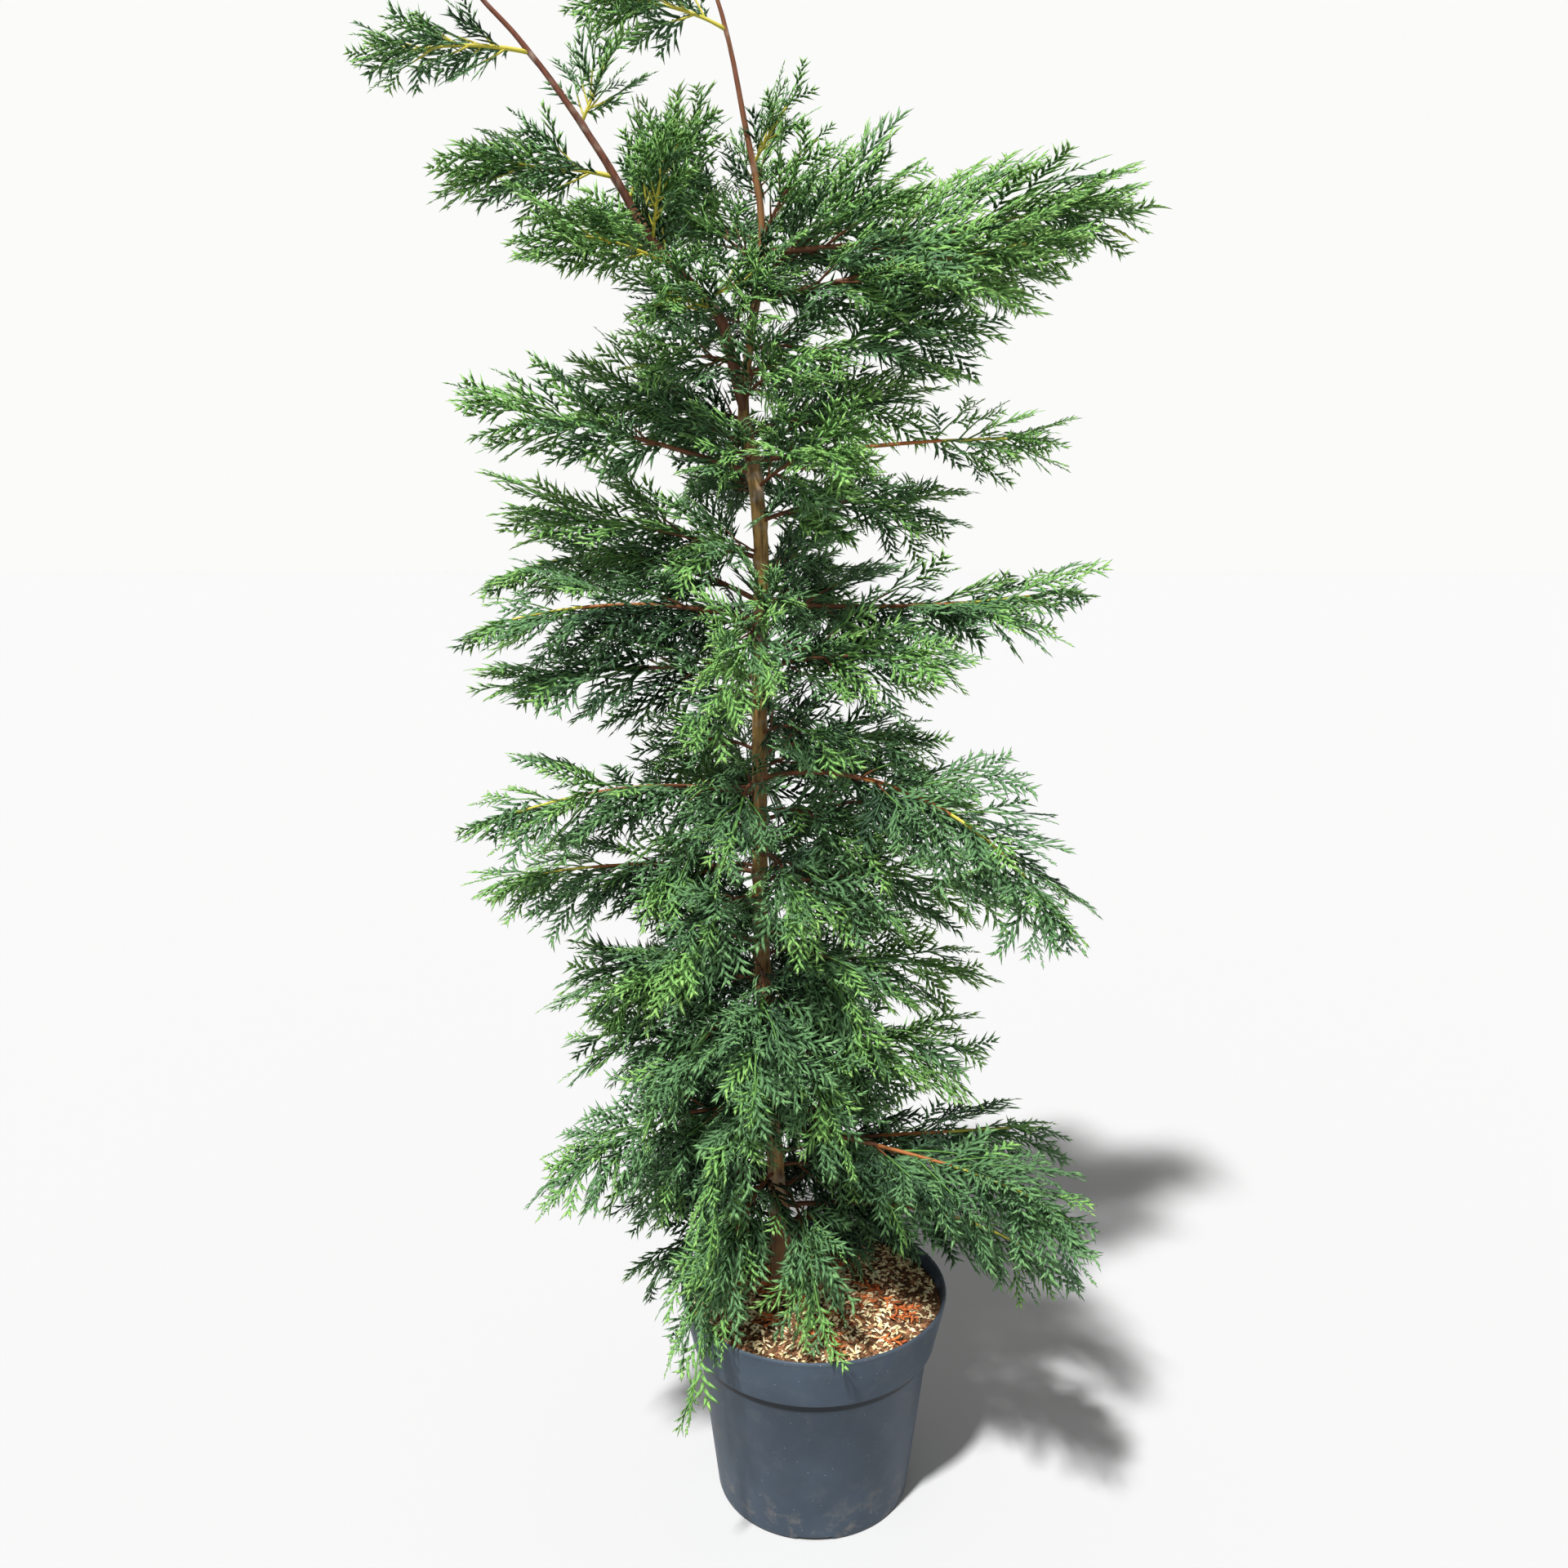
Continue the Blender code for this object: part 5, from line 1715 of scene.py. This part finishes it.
    def clothe(self, growth: Growth, share: float, way: Vector, length: float, roll: float,
               points: list[Vector]) -> None:
        """Sets fronds down both sides of a side spray's twig, and one at its tip.

        Args:
            growth: The bough.
            share: Where along the bough the spray is rooted.
            way: The way it points at its root.
            length: Its reach.
            roll: How far its plane is turned from the level one.
            points: Its twig's centre line.
        """
        row, chance, hang = growth.row, growth.chance, self.hang(points[0])
        woody = length * self.stem_share
        level = UP.cross(way)
        level = level.normalized() if level.length > 0.05 else Vector((1, 0, 0))
        across = Matrix.Rotation(roll, 3, way) @ level
        total = woody * (len(points) - 1) / self.stem_bends
        along, side = self.spray_step * 0.7, chance.choice((-1, 1))
        while along < total:
            t = along / woody
            place_on = along / total * (len(points) - 1)
            i = min(int(place_on), len(points) - 2)
            point = points[i].lerp(points[i + 1], place_on - i)
            on = (points[i + 1] - points[i]).normalized()
            frond_way, facing = self.on_spray.pose(chance, on, across * side, on.cross(across), t, hang)
            frond_length = length * (0.78 - 0.28 * t) * chance.uniform(*LENGTH_SPREAD)
            self.put(growth, point, frond_way, facing, frond_length, share + (1 - share) * 0.5 * t, point.z)
            side = -side
            step = self.spray_step * chance.uniform(*STEP_SPREAD)
            along += step * (1 - 0.2 * t) * (0.8 if row.young else 1.0)
        on = (points[-1] - points[-2]).normalized()
        turned = Matrix.Rotation(math.radians(chance.uniform(-30, 30)), 3, on)
        self.put(growth, points[-1] - on * 0.004, on - UP * hang * 0.15, turned @ on.cross(across),
                 length * 0.36 + 0.02, min(1.0, share + 0.35), points[-1].z, True)

    def direct_fronds(self, growth: Growth) -> None:
        """Adds the fronds that stand on the bough's own stem, and the one at its tip.

        Args:
            growth: The bough.
        """
        row, chance = growth.row, growth.chance
        start, end = row.leafless + 0.10 * (1 - row.leafless), 0.93
        step = self.stem_step / row.reach * (0.7 if row.young else 1.0)
        share, turn = start, chance.uniform(0, 360)
        while share < end:
            t = (share - start) / (end - start)
            point, ahead = row.point(share), row.heading(share)
            hang, out = self.hang(point), self.outness(point)
            level = ahead.cross(UP).normalized()
            upward = level.cross(ahead)
            turn += GOLDEN_ANGLE
            around = math.radians(turn)
            lift = -abs(math.sin(around)) if row.reach > self.long_reach else math.sin(around)
            side = (level * math.cos(around) + upward * lift * (0.9 - 0.5 * out)).normalized()
            way, facing = self.on_bough.pose(chance, ahead, side, ahead.cross(side), t, hang)
            length = (0.74 * row.spray_length(share) + 0.018) * (1 - 0.32 * t)
            self.put(growth, point, way, facing, length * chance.uniform(*LENGTH_SPREAD), share, point.z)
            share += step * chance.uniform(*STEP_SPREAD) * (1 - 0.3 * t)
        tip, last = row.point(1.0), row.point(0.90)
        root = tip + (last - tip).normalized() * min(0.07, row.reach * 0.6)
        turned = Matrix.Rotation(math.radians(chance.uniform(-50, 50)), 3, (tip - root).normalized())
        self.put(growth, root, tip - root, turned @ UP, (tip - root).length, 1.0, tip.z, True)

    def build(self) -> None:
        """Grows every bough and shows the twigs and the fronds of each tier."""
        dealer = FrondDealer(self.classes, self.variants)
        twig_bark = [finish.material() for finish in TWIG_FINISHES]
        for tier in self.tiers:
            group, rows = tier.name, tier.rows()
            twigs, placed = Shape(), []
            for row in rows + tier.shoots():
                self.bough(row, twigs, placed)
            bare = [f"bough_{row.name}" for row in rows if row.bare]
            show(twigs.mesh(f"twigs_{group}", twig_bark), f"twigs_{group}", "bough_bark", *bare)
            masses = [f"mass_{row.name}" for row in rows]
            show(dealer.deal(f"fronds_{group}", placed), f"fronds_{group}", "foliage", *masses)
            log.info("%s: %d boughs, %d fronds", group, len(rows), len(placed))


# ------------------------------------------------------------------ studio
@dataclass
class Studio:
    """A pale floor that runs into a white horizon, one soft sun and the camera."""

    floor_colour: str = "#B3B3B3"
    floor_reach: float = 60.0
    sky_colour: str = "#FBFBFA"
    horizon: float = 1.0            # the sky's strength near the horizon
    zenith: float = 0.17            # and overhead
    rise: tuple[float, float] = (0.44, 0.58)  # the sines of the heights between which it fades
    sun: float = 6.4
    sun_turn: tuple[float, float, float] = (31.0, 0.0, -28.0)
    sun_width: float = 4.0
    camera_place: tuple[float, float, float] = (-0.042, -1.70, 1.34)
    camera_pitch: float = 10.5
    lens: float = 30.0

    def floor(self) -> None:
        """Lays the matt paper floor."""
        body = bmesh.new()
        bmesh.ops.create_grid(body, x_segments=1, y_segments=1, size=self.floor_reach)
        mesh = bpy.data.meshes.new("floor")
        body.to_mesh(mesh)
        body.free()
        paper = new_material("matt_paper", roughness=0.9, ior=1.45, gloss=0.0)
        shader_of(paper).inputs["Base Color"].default_value = linear(self.floor_colour)
        mesh.materials.append(paper)
        floor = bpy.data.objects.new("floor", mesh)
        bpy.context.scene.collection.objects.link(floor)

    def sky(self) -> None:
        """Sets the sky, white round the horizon and dimmer overhead."""
        world = bpy.data.worlds.new("studio")
        world.use_nodes = True
        tree = world.node_tree
        sky = tree.nodes["Background"]
        sky.inputs["Color"].default_value = linear(self.sky_colour)
        way = add(tree, "ShaderNodeTexCoord").outputs["Generated"]
        height = add(tree, "ShaderNodeSeparateXYZ", {"Vector": way}).outputs["Z"]
        glow = add(tree, "ShaderNodeMapRange", {
            "Value": height, "From Min": self.rise[0], "From Max": self.rise[1],
            "To Min": self.horizon, "To Max": self.zenith})
        tree.links.new(glow.outputs["Result"], sky.inputs["Strength"])
        bpy.context.scene.world = world

    def lamp(self) -> None:
        """Hangs the sun, turned by degrees about X, Y and Z."""
        light = bpy.data.lights.new("sun", "SUN")
        light.energy, light.angle = self.sun, math.radians(self.sun_width)
        lamp = bpy.data.objects.new("sun", light)
        lamp.rotation_euler = [math.radians(degrees) for degrees in self.sun_turn]
        bpy.context.scene.collection.objects.link(lamp)

    def camera(self) -> None:
        """Stands the camera at a person's eye height."""
        data = bpy.data.cameras.new("camera")
        data.lens, data.sensor_width = self.lens, 36.0
        data.dof.use_dof = False
        camera = bpy.data.objects.new("camera", data)
        camera.location = self.camera_place
        camera.rotation_euler = (math.radians(90 - self.camera_pitch), 0, 0)
        bpy.context.scene.collection.objects.link(camera)
        bpy.context.scene.camera = camera

    def build(self) -> None:
        """Makes the floor, the sky, the lamp and the camera."""
        self.floor()
        self.sky()
        self.lamp()
        self.camera()
        bpy.context.scene.view_settings.view_transform = "Standard"


def main() -> None:
    """Builds the studio, the pot, the compost, the stems and the foliage."""
    logging.basicConfig(level=logging.INFO, format="%(name)s: %(message)s")
    Studio().build()
    NurseryPot().build()
    Compost().build()
    trunk_finish = BarkFinish("young_conifer_bark", light="#A08048", dark="#5E4628")
    Trunk(piece="trunk_bark", node="trunk", slot="trunk_bark", carrier="trunk", sides=32, rings=420,
          finish=trunk_finish, seed=SEED).build()
    limb_finish = BarkFinish("red_brown_young_bark", light="#7C4E3A", dark="#4A2E26", foot="#6A4A34",
                             low=1.45, high=2.2)
    ForkedLimb(piece="forked_limb_bark", node="forked_limb", slot="bough_bark", carrier="limb", sides=18,
               rings=170, finish=limb_finish, seed=SEED + 1).build()
    Foliage().build()


if __name__ == "__main__":
    main()
